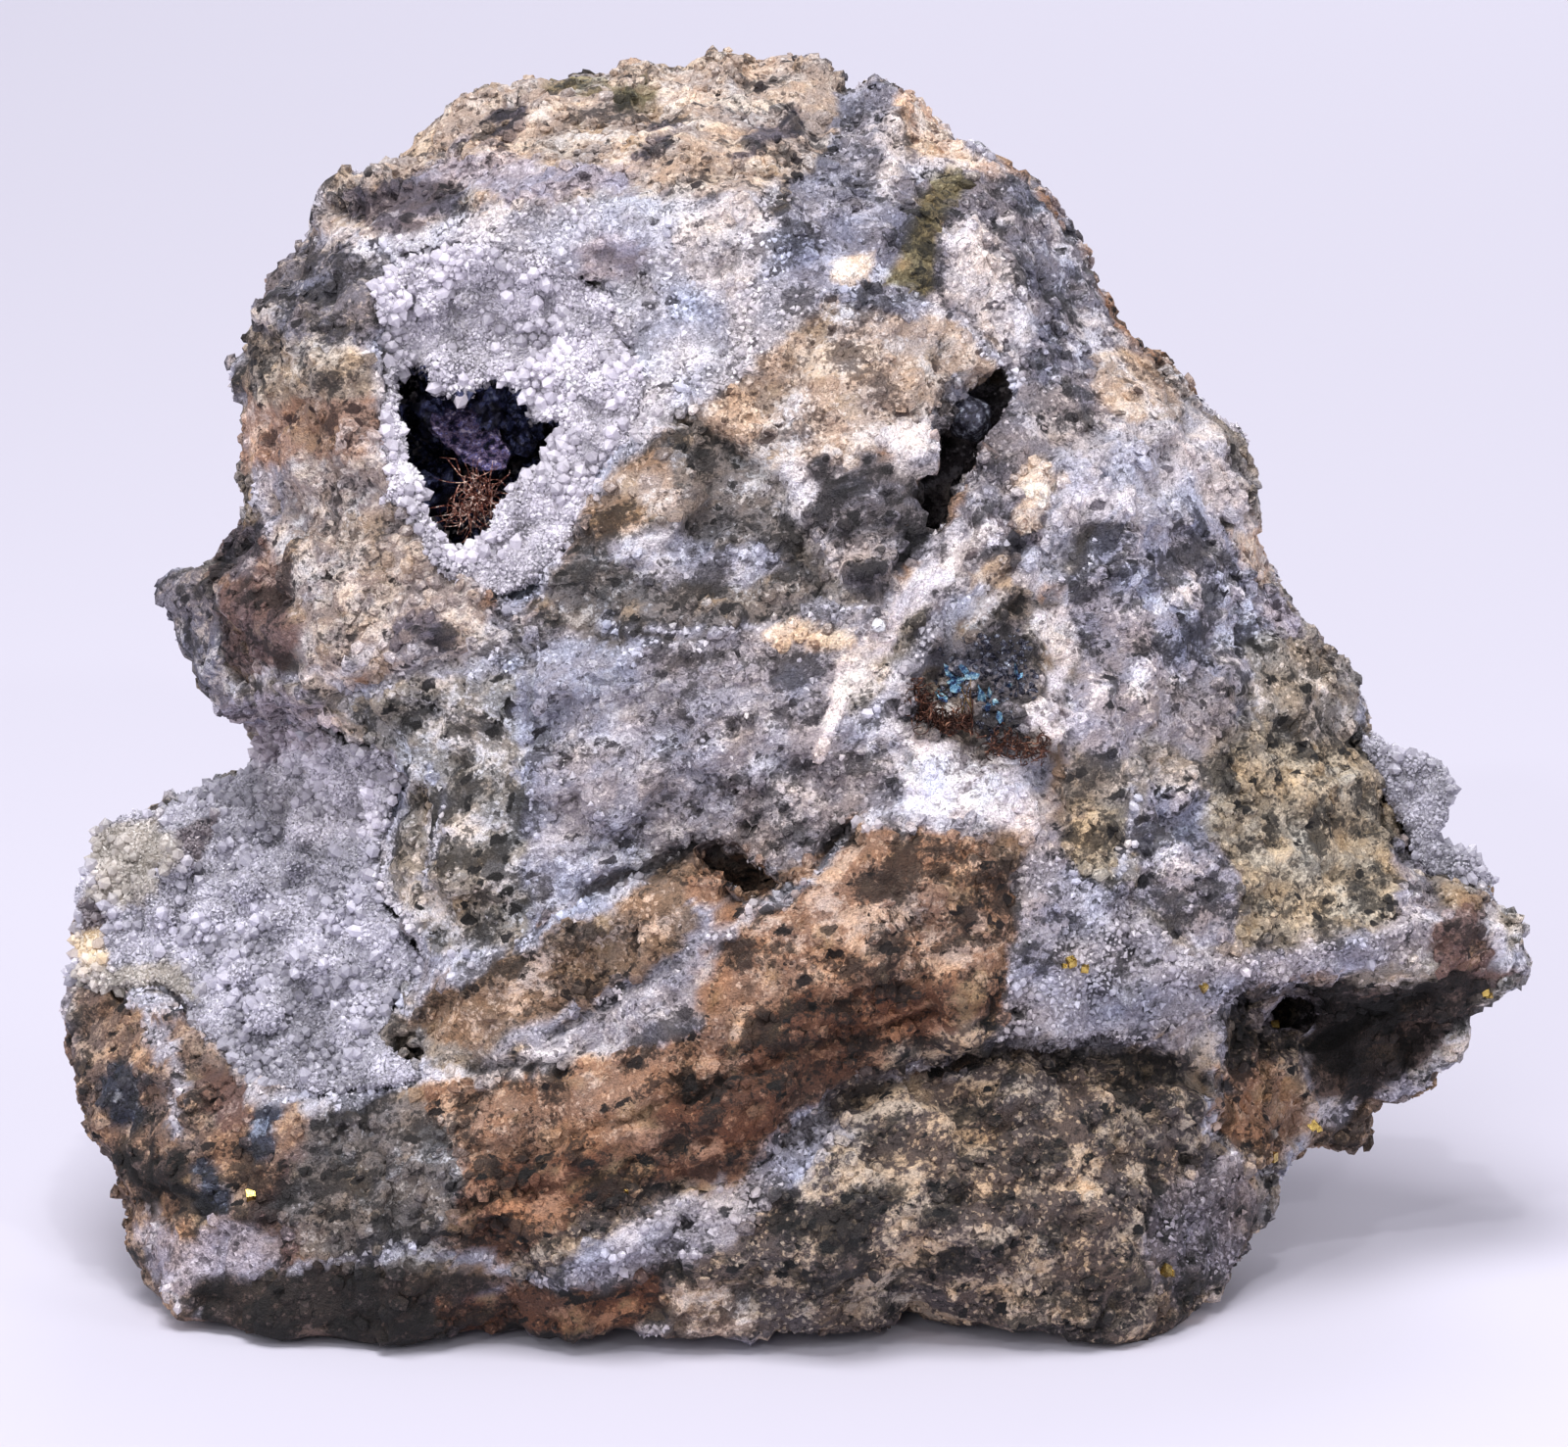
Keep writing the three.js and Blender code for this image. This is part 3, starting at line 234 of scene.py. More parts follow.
# Where each kind lies on the face, later ones over earlier ones: (kind, soft edge in pixels, outline)
AREAS = [
    ("field", 20, [(380, 640), (600, 620), (850, 620), (1010, 560), (1080, 700), (1060, 850),
        (900, 860), (700, 870), (520, 950), (380, 960)]),
    ("tan_weathered", 10, [(300, 260), (335, 190), (430, 120), (500, 80), (600, 55), (850, 50),
        (885, 110), (830, 180), (780, 196), (700, 196), (600, 206), (480, 226), (380, 250)]),
    ("mauve_grey", 12, [(430, 190), (455, 150), (520, 140), (560, 165), (640, 175), (640, 196),
        (520, 205)]),
    ("black_patch", 8, [(345, 205), (390, 185), (440, 188), (478, 200), (470, 225), (420, 240),
        (370, 236)]),
    ("black_patch", 6, [(488, 128), (510, 108), (545, 106), (540, 126), (510, 136)]),
    ("black_patch", 6, [(738, 150), (760, 122), (800, 108), (806, 120), (775, 146), (750, 160)]),
    ("black_patch", 6, [(648, 158), (668, 134), (690, 132), (684, 150), (662, 164)]),
    ("olive_patch", 6, [(555, 92), (575, 76), (622, 74), (620, 94), (580, 100)]),
    ("olive_patch", 6, [(630, 108), (640, 92), (668, 90), (662, 112), (645, 118)]),
    ("blue_grey", 8, [(860, 96), (889, 80), (920, 88), (928, 180), (905, 240), (860, 290), (800, 300),
        (786, 230), (810, 190), (850, 140)]),
    ("white_quartz", 8, [(905, 118), (924, 120), (926, 180), (912, 210), (900, 180)]),
    ("orange_tan", 8, [(916, 86), (940, 104), (985, 142), (1040, 176), (1062, 190), (1010, 190),
        (960, 172), (930, 150)]),
    ("shoulder", 14, [(925, 165), (1070, 184), (1120, 290), (1160, 350), (1130, 420), (1060, 400),
        (1000, 340), (940, 310), (850, 300), (900, 240)]),
    ("olive_patch", 10, [(905, 290), (930, 230), (960, 180), (990, 190), (960, 240), (940, 300)]),
    ("white_quartz", 14, [(962, 300), (975, 250), (1010, 236), (1052, 290), (1064, 340), (1040, 365),
        (1000, 330)]),
    ("peach", 8, [(850, 290), (856, 268), (880, 255), (898, 264), (890, 290), (868, 300)]),
    ("vein_quartz", 16, [(330, 250), (480, 222), (600, 204), (790, 190), (800, 290), (840, 330),
        (760, 370), (690, 420), (640, 460), (600, 520), (560, 610), (480, 600), (430, 560), (390, 480),
        (380, 360), (400, 300)]),
    ("mauve_grey", 14, [(590, 250), (620, 230), (660, 250), (650, 290), (600, 290)]),
    ("white_quartz", 12, [(690, 205), (760, 200), (800, 230), (770, 290), (720, 300), (690, 260)]),
    ("pillar_dark", 14, [(262, 262), (320, 235), (372, 268), (392, 330), (360, 350), (300, 342),
        (255, 330)]),
    ("pillar_cream", 10, [(250, 330), (300, 338), (360, 345), (392, 360), (392, 404), (330, 410),
        (245, 400)]),
    ("rust", 10, [(245, 398), (330, 405), (392, 402), (398, 470), (330, 470), (250, 480)]),
    ("beige", 14, [(290, 470), (400, 460), (430, 520), (470, 580), (500, 620), (480, 660), (400, 690),
        (310, 690), (296, 640), (278, 590), (280, 520)]),
    ("black_patch", 6, [(400, 640), (430, 628), (455, 634), (450, 660), (410, 662)]),
    ("brown_block", 8, [(222, 560), (250, 530), (292, 560), (300, 640), (296, 690), (240, 690),
        (215, 640)]),
    ("pillar_dark", 8, [(160, 600), (205, 570), (222, 600), (224, 660), (236, 720), (200, 715),
        (165, 640)]),
    ("black_patch", 6, [(225, 585), (236, 548), (256, 536), (272, 560), (262, 590)]),
    ("mauve_grey", 8, [(218, 716), (300, 706), (330, 712), (336, 745), (280, 745), (226, 745)]),
    ("olive_block", 10, [(335, 720), (400, 690), (520, 680), (540, 770), (545, 900), (525, 950),
        (470, 975), (420, 960), (388, 930), (384, 880), (410, 800), (398, 765), (345, 752)]),
    ("centre_dark", 12, [(548, 640), (562, 592), (602, 560), (645, 542), (668, 500), (670, 450),
        (692, 426), (730, 440), (784, 484), (822, 540), (840, 600), (800, 640), (700, 665), (600, 655)]),
    ("field", 16, [(620, 560), (660, 540), (790, 560), (800, 585), (700, 590), (640, 585)]),
    ("tan_clast", 12, [(612, 494), (634, 480), (668, 484), (690, 512), (694, 530), (666, 524),
        (640, 506)]),
    ("triangle_dark", 8, [(815, 530), (800, 480), (850, 452), (905, 460), (942, 480), (948, 550),
        (905, 600), (846, 604)]),
    ("tan_clast", 10, [(695, 425), (740, 380), (800, 345), (850, 310), (900, 330), (960, 325),
        (1030, 345), (1012, 384), (960, 404), (930, 440), (880, 462), (830, 470), (790, 495),
        (745, 450)]),
    ("white_quartz", 8, [(798, 470), (826, 458), (834, 500), (820, 540), (804, 510)]),
    ("white_quartz", 8, [(896, 430), (950, 426), (964, 456), (940, 492), (918, 480)]),
    ("grey_zone", 12, [(1000, 450), (1040, 400), (1100, 390), (1120, 450), (1080, 540), (1020, 600),
        (960, 640), (935, 560), (975, 510)]),
    ("lilac_quartz", 16, [(1090, 460), (1140, 420), (1220, 420), (1262, 460), (1275, 540), (1200, 530),
        (1110, 530), (1070, 600), (1040, 640), (1030, 600), (1070, 540)]),
    ("tan_clast", 8, [(1110, 372), (1150, 350), (1200, 380), (1215, 410), (1180, 425), (1140, 420),
        (1118, 400)]),
    ("peach", 8, [(1022, 530), (1035, 500), (1058, 482), (1085, 482), (1086, 506), (1060, 528),
        (1030, 542)]),
    ("tan_clast", 8, [(966, 640), (985, 600), (1010, 570), (1045, 552), (1040, 590), (1000, 630),
        (975, 656)]),
    ("black_patch", 6, [(1016, 560), (1028, 538), (1062, 530), (1066, 552), (1040, 570)]),
    ("slate", 14, [(1092, 620), (1105, 560), (1150, 530), (1230, 530), (1278, 560), (1310, 640),
        (1330, 700), (1250, 720), (1180, 700), (1150, 780), (1095, 800), (1088, 700)]),
    ("pepper", 20, [(1150, 760), (1200, 700), (1290, 700), (1400, 740), (1450, 860), (1490, 900),
        (1430, 945), (1300, 975), (1220, 985), (1100, 900), (1060, 850), (1080, 800)]),
    ("pepper_tan", 18, [(1225, 780), (1300, 740), (1390, 770), (1440, 850), (1430, 940), (1270, 965),
        (1240, 890)]),
    ("pepper_tan", 10, [(1086, 826), (1140, 820), (1160, 870), (1120, 896), (1094, 880)]),
    ("slate", 12, [(1172, 806), (1214, 798), (1226, 850), (1262, 890), (1272, 966), (1226, 978),
        (1168, 910), (1160, 850)]),
    ("slate", 8, [(1420, 862), (1448, 840), (1452, 900), (1482, 924), (1442, 950), (1424, 912)]),
    ("slate", 8, [(1048, 834), (1074, 838), (1096, 880), (1060, 884)]),
    ("field", 16, [(1180, 700), (1240, 690), (1266, 730), (1220, 770), (1176, 760)]),
    ("olive_block", 14, [(1266, 660), (1330, 650), (1376, 720), (1340, 770), (1276, 740)]),
    ("mauve_grey", 10, [(1284, 604), (1320, 620), (1342, 652), (1300, 650)]),
    ("orange_tan", 8, [(1248, 536), (1280, 534), (1298, 596), (1264, 580)]),
    ("centre_dark", 14, [(960, 660), (1040, 600), (1080, 610), (1086, 700), (1070, 770), (1000, 780),
        (930, 750), (934, 700)]),
    ("olive_block", 10, [(868, 700), (900, 640), (940, 590), (955, 620), (925, 680), (880, 730),
        (862, 730)]),
    ("triangle_dark", 10, [(945, 668), (1000, 650), (1044, 640), (1056, 700), (1046, 748), (1000, 752),
        (985, 722), (950, 702)]),
    ("pink_white", 8, [(1058, 625), (1084, 612), (1090, 650), (1080, 690), (1076, 716), (1106, 752),
        (1084, 768), (1060, 756), (1044, 742), (1062, 716), (1066, 680)]),
    ("pink_white", 10, [(920, 772), (930, 742), (962, 744), (1010, 776), (1050, 790), (1066, 830),
        (1052, 862), (1000, 832), (940, 826)]),
    ("pink_white", 6, [(1008, 524), (1024, 534), (954, 606), (904, 656), (872, 696), (852, 756),
        (832, 770), (842, 700), (872, 642), (930, 586)]),
    ("vein_quartz", 6, [(1000, 600), (1012, 606), (940, 672), (905, 708), (884, 740), (876, 730),
        (900, 694), (950, 640)]),
    ("peach", 6, [(770, 640), (860, 640), (856, 660), (800, 664)]),
    ("grey_zone", 12, [(740, 800), (840, 770), (920, 770), (930, 830), (880, 850), (800, 880),
        (740, 860)]),
    ("brown_clast", 8, [(712, 960), (740, 930), (830, 872), (900, 832), (1000, 858), (1036, 900),
        (1044, 980), (1020, 1022), (900, 1080), (800, 1150), (740, 1204), (640, 1216), (500, 1290),
        (420, 1260), (370, 1160), (440, 1100), (560, 1084), (700, 1056)]),
    # Painted shade: the lower half of the brown clast, darker than its top
    ("shaded_brown", 16, [(760, 1030), (860, 1000), (1000, 1000), (1030, 1010), (900, 1080), (800, 1150),
        (740, 1204), (640, 1216), (500, 1290), (430, 1240), (450, 1180), (600, 1180), (700, 1120)]),
    ("second_clast", 8, [(398, 1030), (440, 1000), (520, 960), (560, 944), (640, 890), (712, 872),
        (716, 960), (640, 1000), (560, 1050), (470, 1070), (420, 1050)]),
    ("field", 10, [(560, 1060), (640, 1010), (716, 970), (712, 1040), (640, 1070), (540, 1100)]),
    ("vein_quartz", 5, [(400, 1030), (440, 996), (517, 960), (560, 940), (654, 884), (700, 866),
        (700, 874), (656, 898), (562, 956), (520, 972), (446, 1006), (410, 1036)]),
    ("grey_vein", 12, [(1036, 900), (1060, 860), (1120, 900), (1220, 984), (1289, 973), (1367, 959),
        (1427, 945), (1482, 924), (1500, 950), (1404, 985), (1289, 1010), (1228, 1040), (1144, 1070),
        (1060, 1068), (998, 1068), (1010, 1030), (1044, 980)]),
    ("slate", 6, [(1034, 926), (1060, 914), (1092, 934), (1082, 950), (1050, 946)]),
    ("slate", 8, [(1110, 900), (1180, 892), (1212, 930), (1160, 932)]),
    ("slate", 8, [(1040, 966), (1074, 960), (1090, 1000), (1060, 1006)]),
    ("brown_block", 10, [(1462, 950), (1484, 916), (1510, 900), (1550, 960), (1560, 996), (1520, 1010),
        (1470, 990)]),
    ("white_quartz", 4, [(1504, 890), (1512, 896), (1566, 978), (1562, 998), (1546, 990), (1520, 940)]),
    ("cream_block", 20, [(800, 1160), (880, 1110), (960, 1092), (1060, 1076), (1240, 1070),
        (1300, 1180), (1290, 1270), (1200, 1380), (700, 1380), (640, 1330), (700, 1230)]),
    ("grey_vein", 14, [(560, 1300), (640, 1250), (740, 1204), (830, 1130), (860, 1150), (790, 1220),
        (700, 1290), (620, 1320)]),
    ("dull_quartz", 14, [(1180, 1210), (1260, 1180), (1300, 1230), (1260, 1300), (1200, 1330),
        (1170, 1270)]),
    ("brown_clast", 10, [(1230, 1090), (1290, 1080), (1340, 1110), (1345, 1150), (1300, 1180),
        (1240, 1160)]),
    # Painted shade in the recess under the right ledge
    ("foot", 14, [(1330, 1010), (1480, 990), (1540, 1000), (1480, 1070), (1400, 1130), (1340, 1120)]),
    ("tan_block", 20, [(60, 1010), (200, 1020), (300, 1110), (380, 1120), (400, 1300), (300, 1380),
        (180, 1360), (100, 1240), (70, 1100)]),
    ("brown_block", 14, [(250, 1180), (380, 1130), (430, 1230), (420, 1300), (280, 1300)]),
    ("foot", 10, [(108, 1180), (180, 1160), (196, 1210), (150, 1240), (124, 1215)]),
    ("warm_tan", 10, [(90, 1032), (140, 1018), (196, 1035), (200, 1086), (150, 1092), (108, 1084)]),
    ("warm_tan", 8, [(92, 1150), (120, 1150), (186, 1164), (180, 1178), (120, 1180)]),
    ("warm_tan", 8, [(200, 1152), (235, 1136), (255, 1120), (300, 1112), (306, 1150), (290, 1190),
        (270, 1216), (250, 1216), (224, 1190), (204, 1180)]),
    ("brown_block", 6, [(205, 1094), (250, 1100), (258, 1130), (226, 1146), (206, 1140)]),
    ("grey_zone", 10, [(304, 1102), (400, 1108), (392, 1140), (344, 1160), (306, 1150)]),
    ("second_clast", 14, [(300, 1200), (400, 1180), (450, 1240), (440, 1300), (320, 1300)]),
    ("centre_dark", 16, [(306, 1140), (400, 1116), (450, 1150), (476, 1230), (446, 1296), (330, 1296),
        (292, 1226)]),
    ("mauve_grey", 12, [(138, 1250), (240, 1246), (304, 1258), (290, 1296), (220, 1320), (158, 1300)]),
    ("galena", 6, [(104, 1096), (130, 1086), (152, 1104), (148, 1146), (120, 1150), (106, 1130)]),
    ("galena", 5, [(256, 1130), (280, 1116), (292, 1130), (280, 1180), (258, 1176)]),
    ("galena", 5, [(192, 1190), (210, 1180), (238, 1220), (240, 1244), (214, 1236)]),
    ("warm_tan", 6, [(164, 1220), (198, 1214), (206, 1250), (190, 1262), (170, 1250)]),
    # Painted shade along the bottom, where the rock turns under
    ("foot", 20, [(200, 1300), (420, 1290), (560, 1300), (660, 1330), (640, 1390), (200, 1390)]),
    ("black_patch", 8, [(440, 1330), (500, 1310), (560, 1320), (560, 1350), (470, 1360)]),
    # Painted shade along the bottom edge
    ("shaded_brown", 10, [(440, 1322), (560, 1310), (684, 1306), (690, 1350), (560, 1362), (450, 1352)]),
    ("tan_clast", 10, [(692, 1322), (760, 1318), (770, 1372), (694, 1372)]),
]

CRUST_AREAS = [
    ("druse", 10, [(0, 600), (700, 600), (700, 1200), (0, 1200)]),
    # Painted light: the crust just under the overhang is painted lighter, in place of the light that the
    # overhang keeps off it
    ("bright_druse", 30, [(250, 750), (430, 750), (430, 850), (300, 860)]),
    ("mauve_grey", 12, [(264, 740), (340, 740), (340, 765), (260, 775)]),
    ("cream_druse", 10, [(80, 850), (160, 830), (180, 870), (150, 930), (90, 930)]),
    ("black_patch", 8, [(176, 850), (200, 840), (222, 834), (205, 870), (182, 900)]),
    ("black_patch", 6, [(80, 922), (100, 916), (110, 940), (96, 956), (80, 950)]),
    ("yellow_stain", 8, [(66, 960), (110, 944), (118, 1000), (70, 1020)]),
    ("cream_druse", 10, [(70, 985), (180, 975), (210, 1020), (120, 1030), (66, 1020)]),
]

# Cracks and steps that the light picks out: (width mm, depth mm, line)
CRACKS = [
    (0.9, 1.3, [(600, 915), (654, 892), (709, 868), (761, 890), (800, 905)]),
    (0.8, 1.4, [(835, 881), (845, 860), (872, 851)]),
    (0.7, 0.9, [(480, 1091), (530, 1088), (576, 1091)]),
    (0.7, 0.8, [(692, 425), (740, 452), (790, 492), (815, 542), (838, 602)]),
    (0.6, 0.6, [(943, 480), (948, 520), (942, 560), (905, 600)]),
    (0.6, 0.7, [(510, 620), (540, 680), (548, 760)]),
    (0.6, 0.6, [(335, 716), (400, 690), (520, 672)]),
    (0.5, 0.4, [(405, 780), (388, 850), (384, 920), (425, 985)]),
    (1.0, 1.4, [(1236, 1112), (1190, 1090), (1140, 1076), (1060, 1072), (1010, 1074), (950, 1096)]),
    (0.7, 0.8, [(950, 1096), (860, 1124), (780, 1170), (690, 1210)]),
    (0.7, 1.0, [(1238, 1104), (1246, 1150), (1234, 1196)]),
    (0.8, 1.0, [(1250, 1040), (1290, 1066), (1350, 1060), (1400, 1030), (1460, 1010)]),
    (0.5, 0.7, [(1045, 1072), (1100, 1110), (1180, 1100), (1230, 1110)]),
    (0.5, 0.6, [(440, 1180), (560, 1170), (700, 1120), (800, 1080), (900, 1050), (1010, 1020)]),
    (0.5, 0.5, [(470, 1230), (600, 1206), (720, 1160)]),
    (0.5, 0.6, [(880, 90), (862, 130), (826, 180), (790, 200)]),
    (0.5, 0.6, [(300, 262), (296, 330), (262, 400)]),
    (0.5, 0.5, [(1100, 460), (1060, 540), (980, 640), (930, 740)]),
    (0.6, 0.8, [(1386, 740), (1430, 850), (1470, 930)]),
    (0.6, 0.8, [(222, 565), (226, 640), (240, 700)]),
    (0.5, 0.7, [(700, 980), (640, 1010), (560, 1060)]),
    (0.6, 0.6, [(1040, 890), (1035, 960), (1000, 1040)]),
    (0.6, 0.7, [(370, 1130), (400, 1230), (420, 1300)]),
    (0.6, 0.5, [(860, 90), (868, 130), (830, 180)]),
    (0.6, 0.6, [(384, 300), (396, 380), (400, 470), (430, 560)]),
]

# Small hollows: (across and down in pixels, radius in pixels, depth in mm)
HOLLOWS = [
    (760, 905, 20, 2.2), (1022, 384, 12, 1.5), (1036, 1034, 9, 1.2), (698, 1249, 8, 1.0),
    (839, 1154, 8, 0.9), (414, 1066, 16, 2.0), (878, 860, 10, 1.2), (1300, 1032, 34, 2.4),
    (1340, 1016, 24, 1.8), (1260, 1060, 14, 1.2), (560, 430, 14, 1.5), (820, 1160, 6, 0.8),
    (183, 884, 12, 1.8), (248, 555, 10, 0.9), (1218, 1186, 10, 1.0), (760, 845, 12, 0.9),
    (1250, 531, 7, 1.6),
]

# Thin seams of quartz between the clasts: (kind, half width in pixels, line)
VEINS = [
    ("white_quartz", 6, [(332, 244), (372, 262), (398, 300), (402, 340), (396, 400), (404, 470),
        (430, 540)]),
    ("white_quartz", 5, [(226, 700), (300, 690), (360, 676), (430, 668), (480, 654)]),
    ("vein_quartz", 7, [(360, 710), (420, 690), (520, 668), (620, 660), (720, 664)]),
    ("white_quartz", 6, [(392, 1120), (440, 1104), (520, 1090), (580, 1060)]),
    ("vein_quartz", 5, [(716, 962), (770, 930), (840, 885), (880, 850), (930, 812)]),
    ("grey_vein", 5, [(560, 1050), (640, 1010), (716, 968)]),
    ("vein_quartz", 4, [(620, 640), (700, 650), (790, 640), (840, 625), (900, 600)]),
    ("white_quartz", 4, [(948, 580), (946, 540), (944, 500), (968, 464)]),
    ("white_quartz", 4, [(820, 540), (834, 572), (846, 602)]),
    ("vein_quartz", 5, [(786, 338), (850, 300), (940, 310), (1000, 340), (1044, 400)]),
    ("white_quartz", 3, [(1150, 610), (1174, 590), (1190, 560)]),
    ("white_quartz", 3, [(1213, 600), (1240, 580)]),
    ("vein_quartz", 4, [(1090, 620), (1130, 540), (1160, 470)]),
    ("grey_vein", 4, [(530, 780), (560, 860), (548, 930)]),
    ("vein_quartz", 4, [(440, 790), (444, 850), (430, 900)]),
    ("white_quartz", 4, [(1130, 360), (1180, 420), (1250, 450), (1270, 520)]),
    ("vein_quartz", 5, [(1150, 790), (1160, 850), (1130, 900)]),
    ("grey_vein", 6, [(300, 1300), (420, 1270), (560, 1300)]),
    ("grey_vein", 6, [(1240, 1100), (1236, 1160), (1270, 1190), (1300, 1200)]),
    ("grey_vein", 5, [(160, 1230), (150, 1290), (200, 1340)]),
    ("grey_vein", 9, [(150, 1010), (168, 1060), (178, 1120), (184, 1156)]),
]

# Seams of the same kind, where the slope's crust thins out over the rock at its rim
RIM_VEINS = [
    ("druse", 13, [(412, 795), (398, 830), (393, 860), (398, 920), (428, 965)]),
    ("druse", 12, [(430, 1100), (383, 1120), (330, 1120), (279, 1110), (227, 1072), (190, 1028),
        (131, 1014)]),
]

# The hollows with walls painted dark, partly as shade: (depth w where the dark starts, depth w of the floor,
# outline)
VUGS = [
    (4.5, -6.0, [(409, 384), (420, 372), (437, 380), (440, 407), (475, 404), (504, 390), (531, 401),
        (548, 411), (534, 424), (544, 435), (582, 421), (566, 448), (560, 466), (540, 482), (525, 487),
        (518, 503), (506, 527), (490, 549), (484, 562), (470, 572), (456, 567), (461, 554), (449, 542),
        (434, 521), (431, 492), (419, 474), (408, 457)]),
    (6.5, -4.5, [(985, 410), (1000, 398), (1020, 400), (1030, 418), (1016, 446), (995, 466), (987, 486),
        (970, 499), (966, 520), (964, 540), (944, 551), (938, 520), (936, 494), (947, 476), (960, 464),
        (960, 440), (968, 420)]),
    (4.0, -10.5, [(1276, 1048), (1286, 1024), (1310, 1010), (1338, 1006), (1348, 1024), (1336, 1048),
        (1306, 1056)]),
]


# Meshes

def places_of(mesh):
    co = np.empty(len(mesh.vertices) * 3, np.float32)
    mesh.vertices.foreach_get("co", co)
    return co.reshape(-1, 3).astype(float) / MM


def facing_of(mesh):
    normals = np.empty(len(mesh.vertices) * 3, np.float32)
    mesh.vertices.foreach_get("normal", normals)
    return normals.reshape(-1, 3).astype(float)


def share_of(mesh, name):
    value = np.empty(len(mesh.vertices), np.float32)
    mesh.attributes[name].data.foreach_get("value", value)
    return value.astype(float)


def move(mesh, places):
    mesh.vertices.foreach_set("co", (places * MM).astype(np.float32).ravel())
    mesh.update()


def linked(name, mesh):
    piece = bpy.data.objects.new(name, mesh)
    bpy.context.scene.collection.objects.link(piece)
    return piece


def finished(piece):
    """The piece with its modifiers made into a plain mesh."""
    graph = bpy.context.evaluated_depsgraph_get()
    mesh = bpy.data.meshes.new_from_object(piece.evaluated_get(graph))
    piece.modifiers.clear()
    piece.data = mesh
    return piece


def joined(shape, name):
    """A mesh from a bmesh, which is freed."""
    mesh = bpy.data.meshes.new(name)
    shape.to_mesh(mesh)
    shape.free()
    return mesh


def skin_over(node, name, grid):
    """A fine even skin over a CAD node, to be worked in more detail."""
    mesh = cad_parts[node].data.copy()
    solid = bmesh.new()
    solid.from_mesh(mesh)
    bmesh.ops.remove_doubles(solid, verts=solid.verts, dist=1e-6)
    solid.to_mesh(mesh)
    solid.free()
    mesh.materials.clear()
    piece = linked(name, mesh)
    remesh = piece.modifiers.new("grid", "REMESH")
    remesh.mode = "VOXEL"
    remesh.voxel_size = grid * MM
    remesh.use_smooth_shade = True
    return finished(piece)


def worn(piece, node=None):
    """The piece rides on the body and stands in for its CAD node."""
    if node:
        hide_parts(node)
    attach(piece, "root")
    return piece


# Colours painted on the places of a mesh

def srgb(colour):
    """Linear values of a colour as read."""
    return tuple(c / 12.92 if c <= 0.04045 else ((c + 0.055) / 1.055) ** 2.4 for c in colour)


# The columns of a place's values: three tones of three numbers each, and the three numbers of its grain
DARK, MIDDLE, LIGHT, TONES = slice(0, 3), slice(3, 6), slice(6, 9), slice(0, 9)
DARK_SHARE, LIGHT_SHARE, SUGAR = 9, 10, 11


def kind_values(kind):
    """A kind of rock as one row of values."""
    dark, middle, light, dark_share, light_share, sugar = KINDS[kind]
    return np.array([*srgb(dark), *srgb(middle), *srgb(light), dark_share, light_share, sugar])


def wandering(places, u, v):
    """Drawn places pushed about, so that what is drawn with straight lines gets ragged edges."""
    for size, push, seed in ((3.6, 13, 11), (1.4, 9, 12), (0.7, 6, 13)):
        u = u + push * lumps(places, size, seed)
        v = v + push * lumps(places, size, seed + 10)
    return u, v


def paint(mesh, places, areas, veins, base):
    """Each place's dark, middle and light colour and its grain, from the areas and veins it lies in."""
    u, v, _ = drawn(places)
    u, v = wandering(places, u, v)
    values = base.copy()
    face = ramp(facing_of(mesh) @ TOWARDS, -0.35, 0.0)
    for kind, soft, outline in areas:
        near = np.array(outline, float)
        low, high = near.min(0) - soft, near.max(0) + soft
        some = np.where((u > low[0]) & (u < high[0]) & (v > low[1]) & (v < high[1]) & (face > 0))[0]
        if len(some):
            share = ramp(within(u[some], v[some], outline), -0.4 * soft, 0.4 * soft) * face[some]
            values[some] += (kind_values(kind) - values[some]) * share[:, None]
    for kind, wide, line in veins:
        share = (1 - ramp(from_line(u, v, line), 0.5 * wide, 1.1 * wide)) * face
        values += (kind_values(kind) - values) * share[:, None]
    return values


# The pale stain on warm rock
STAIN = (0.74, 0.63, 0.48)


def varied(places, values):
    """The colours made warmer and cooler, lighter and darker, with blots of the dark and the light mineral
    and, on warm rock without sugar, a pale stain."""
    out = values.copy()
    lift = np.repeat(TONE_LIFT, 3)
    out[:, TONES] *= lift / (1 + (lift - 1) * out[:, TONES])
    out[:, TONES] *= 1 + rough(places, 3.0, 17)[:, None] * np.array((0.09, 0.01, -0.10) * 3)
    out[:, TONES] *= 1 + 0.14 * rough(places, 2.2, 21)[:, None]
    for tone, share, size, seed in ((DARK, DARK_SHARE, 1.3, 27), (LIGHT, LIGHT_SHARE, 1.4, 24)):
        blot = ramp(rough(places, size, seed), 0.7, 1.0) * ramp(values[:, share], 0.1, 0.35)
        out[:, MIDDLE] += (out[:, tone] - out[:, MIDDLE]) * 0.75 * blot[:, None]
    middle = values[:, MIDDLE]
    warm = ramp(middle[:, 0] - middle[:, 2], 0.0, 0.04)
    stain = 0.45 * ramp(rough(places, 1.5, 39), 0.35, 0.9) * warm * (1 - ramp(values[:, SUGAR], 0.2, 0.5))
    out[:, MIDDLE] += (np.array(srgb(STAIN)) - out[:, MIDDLE]) * stain[:, None]
    return np.clip(out, 0, 1)


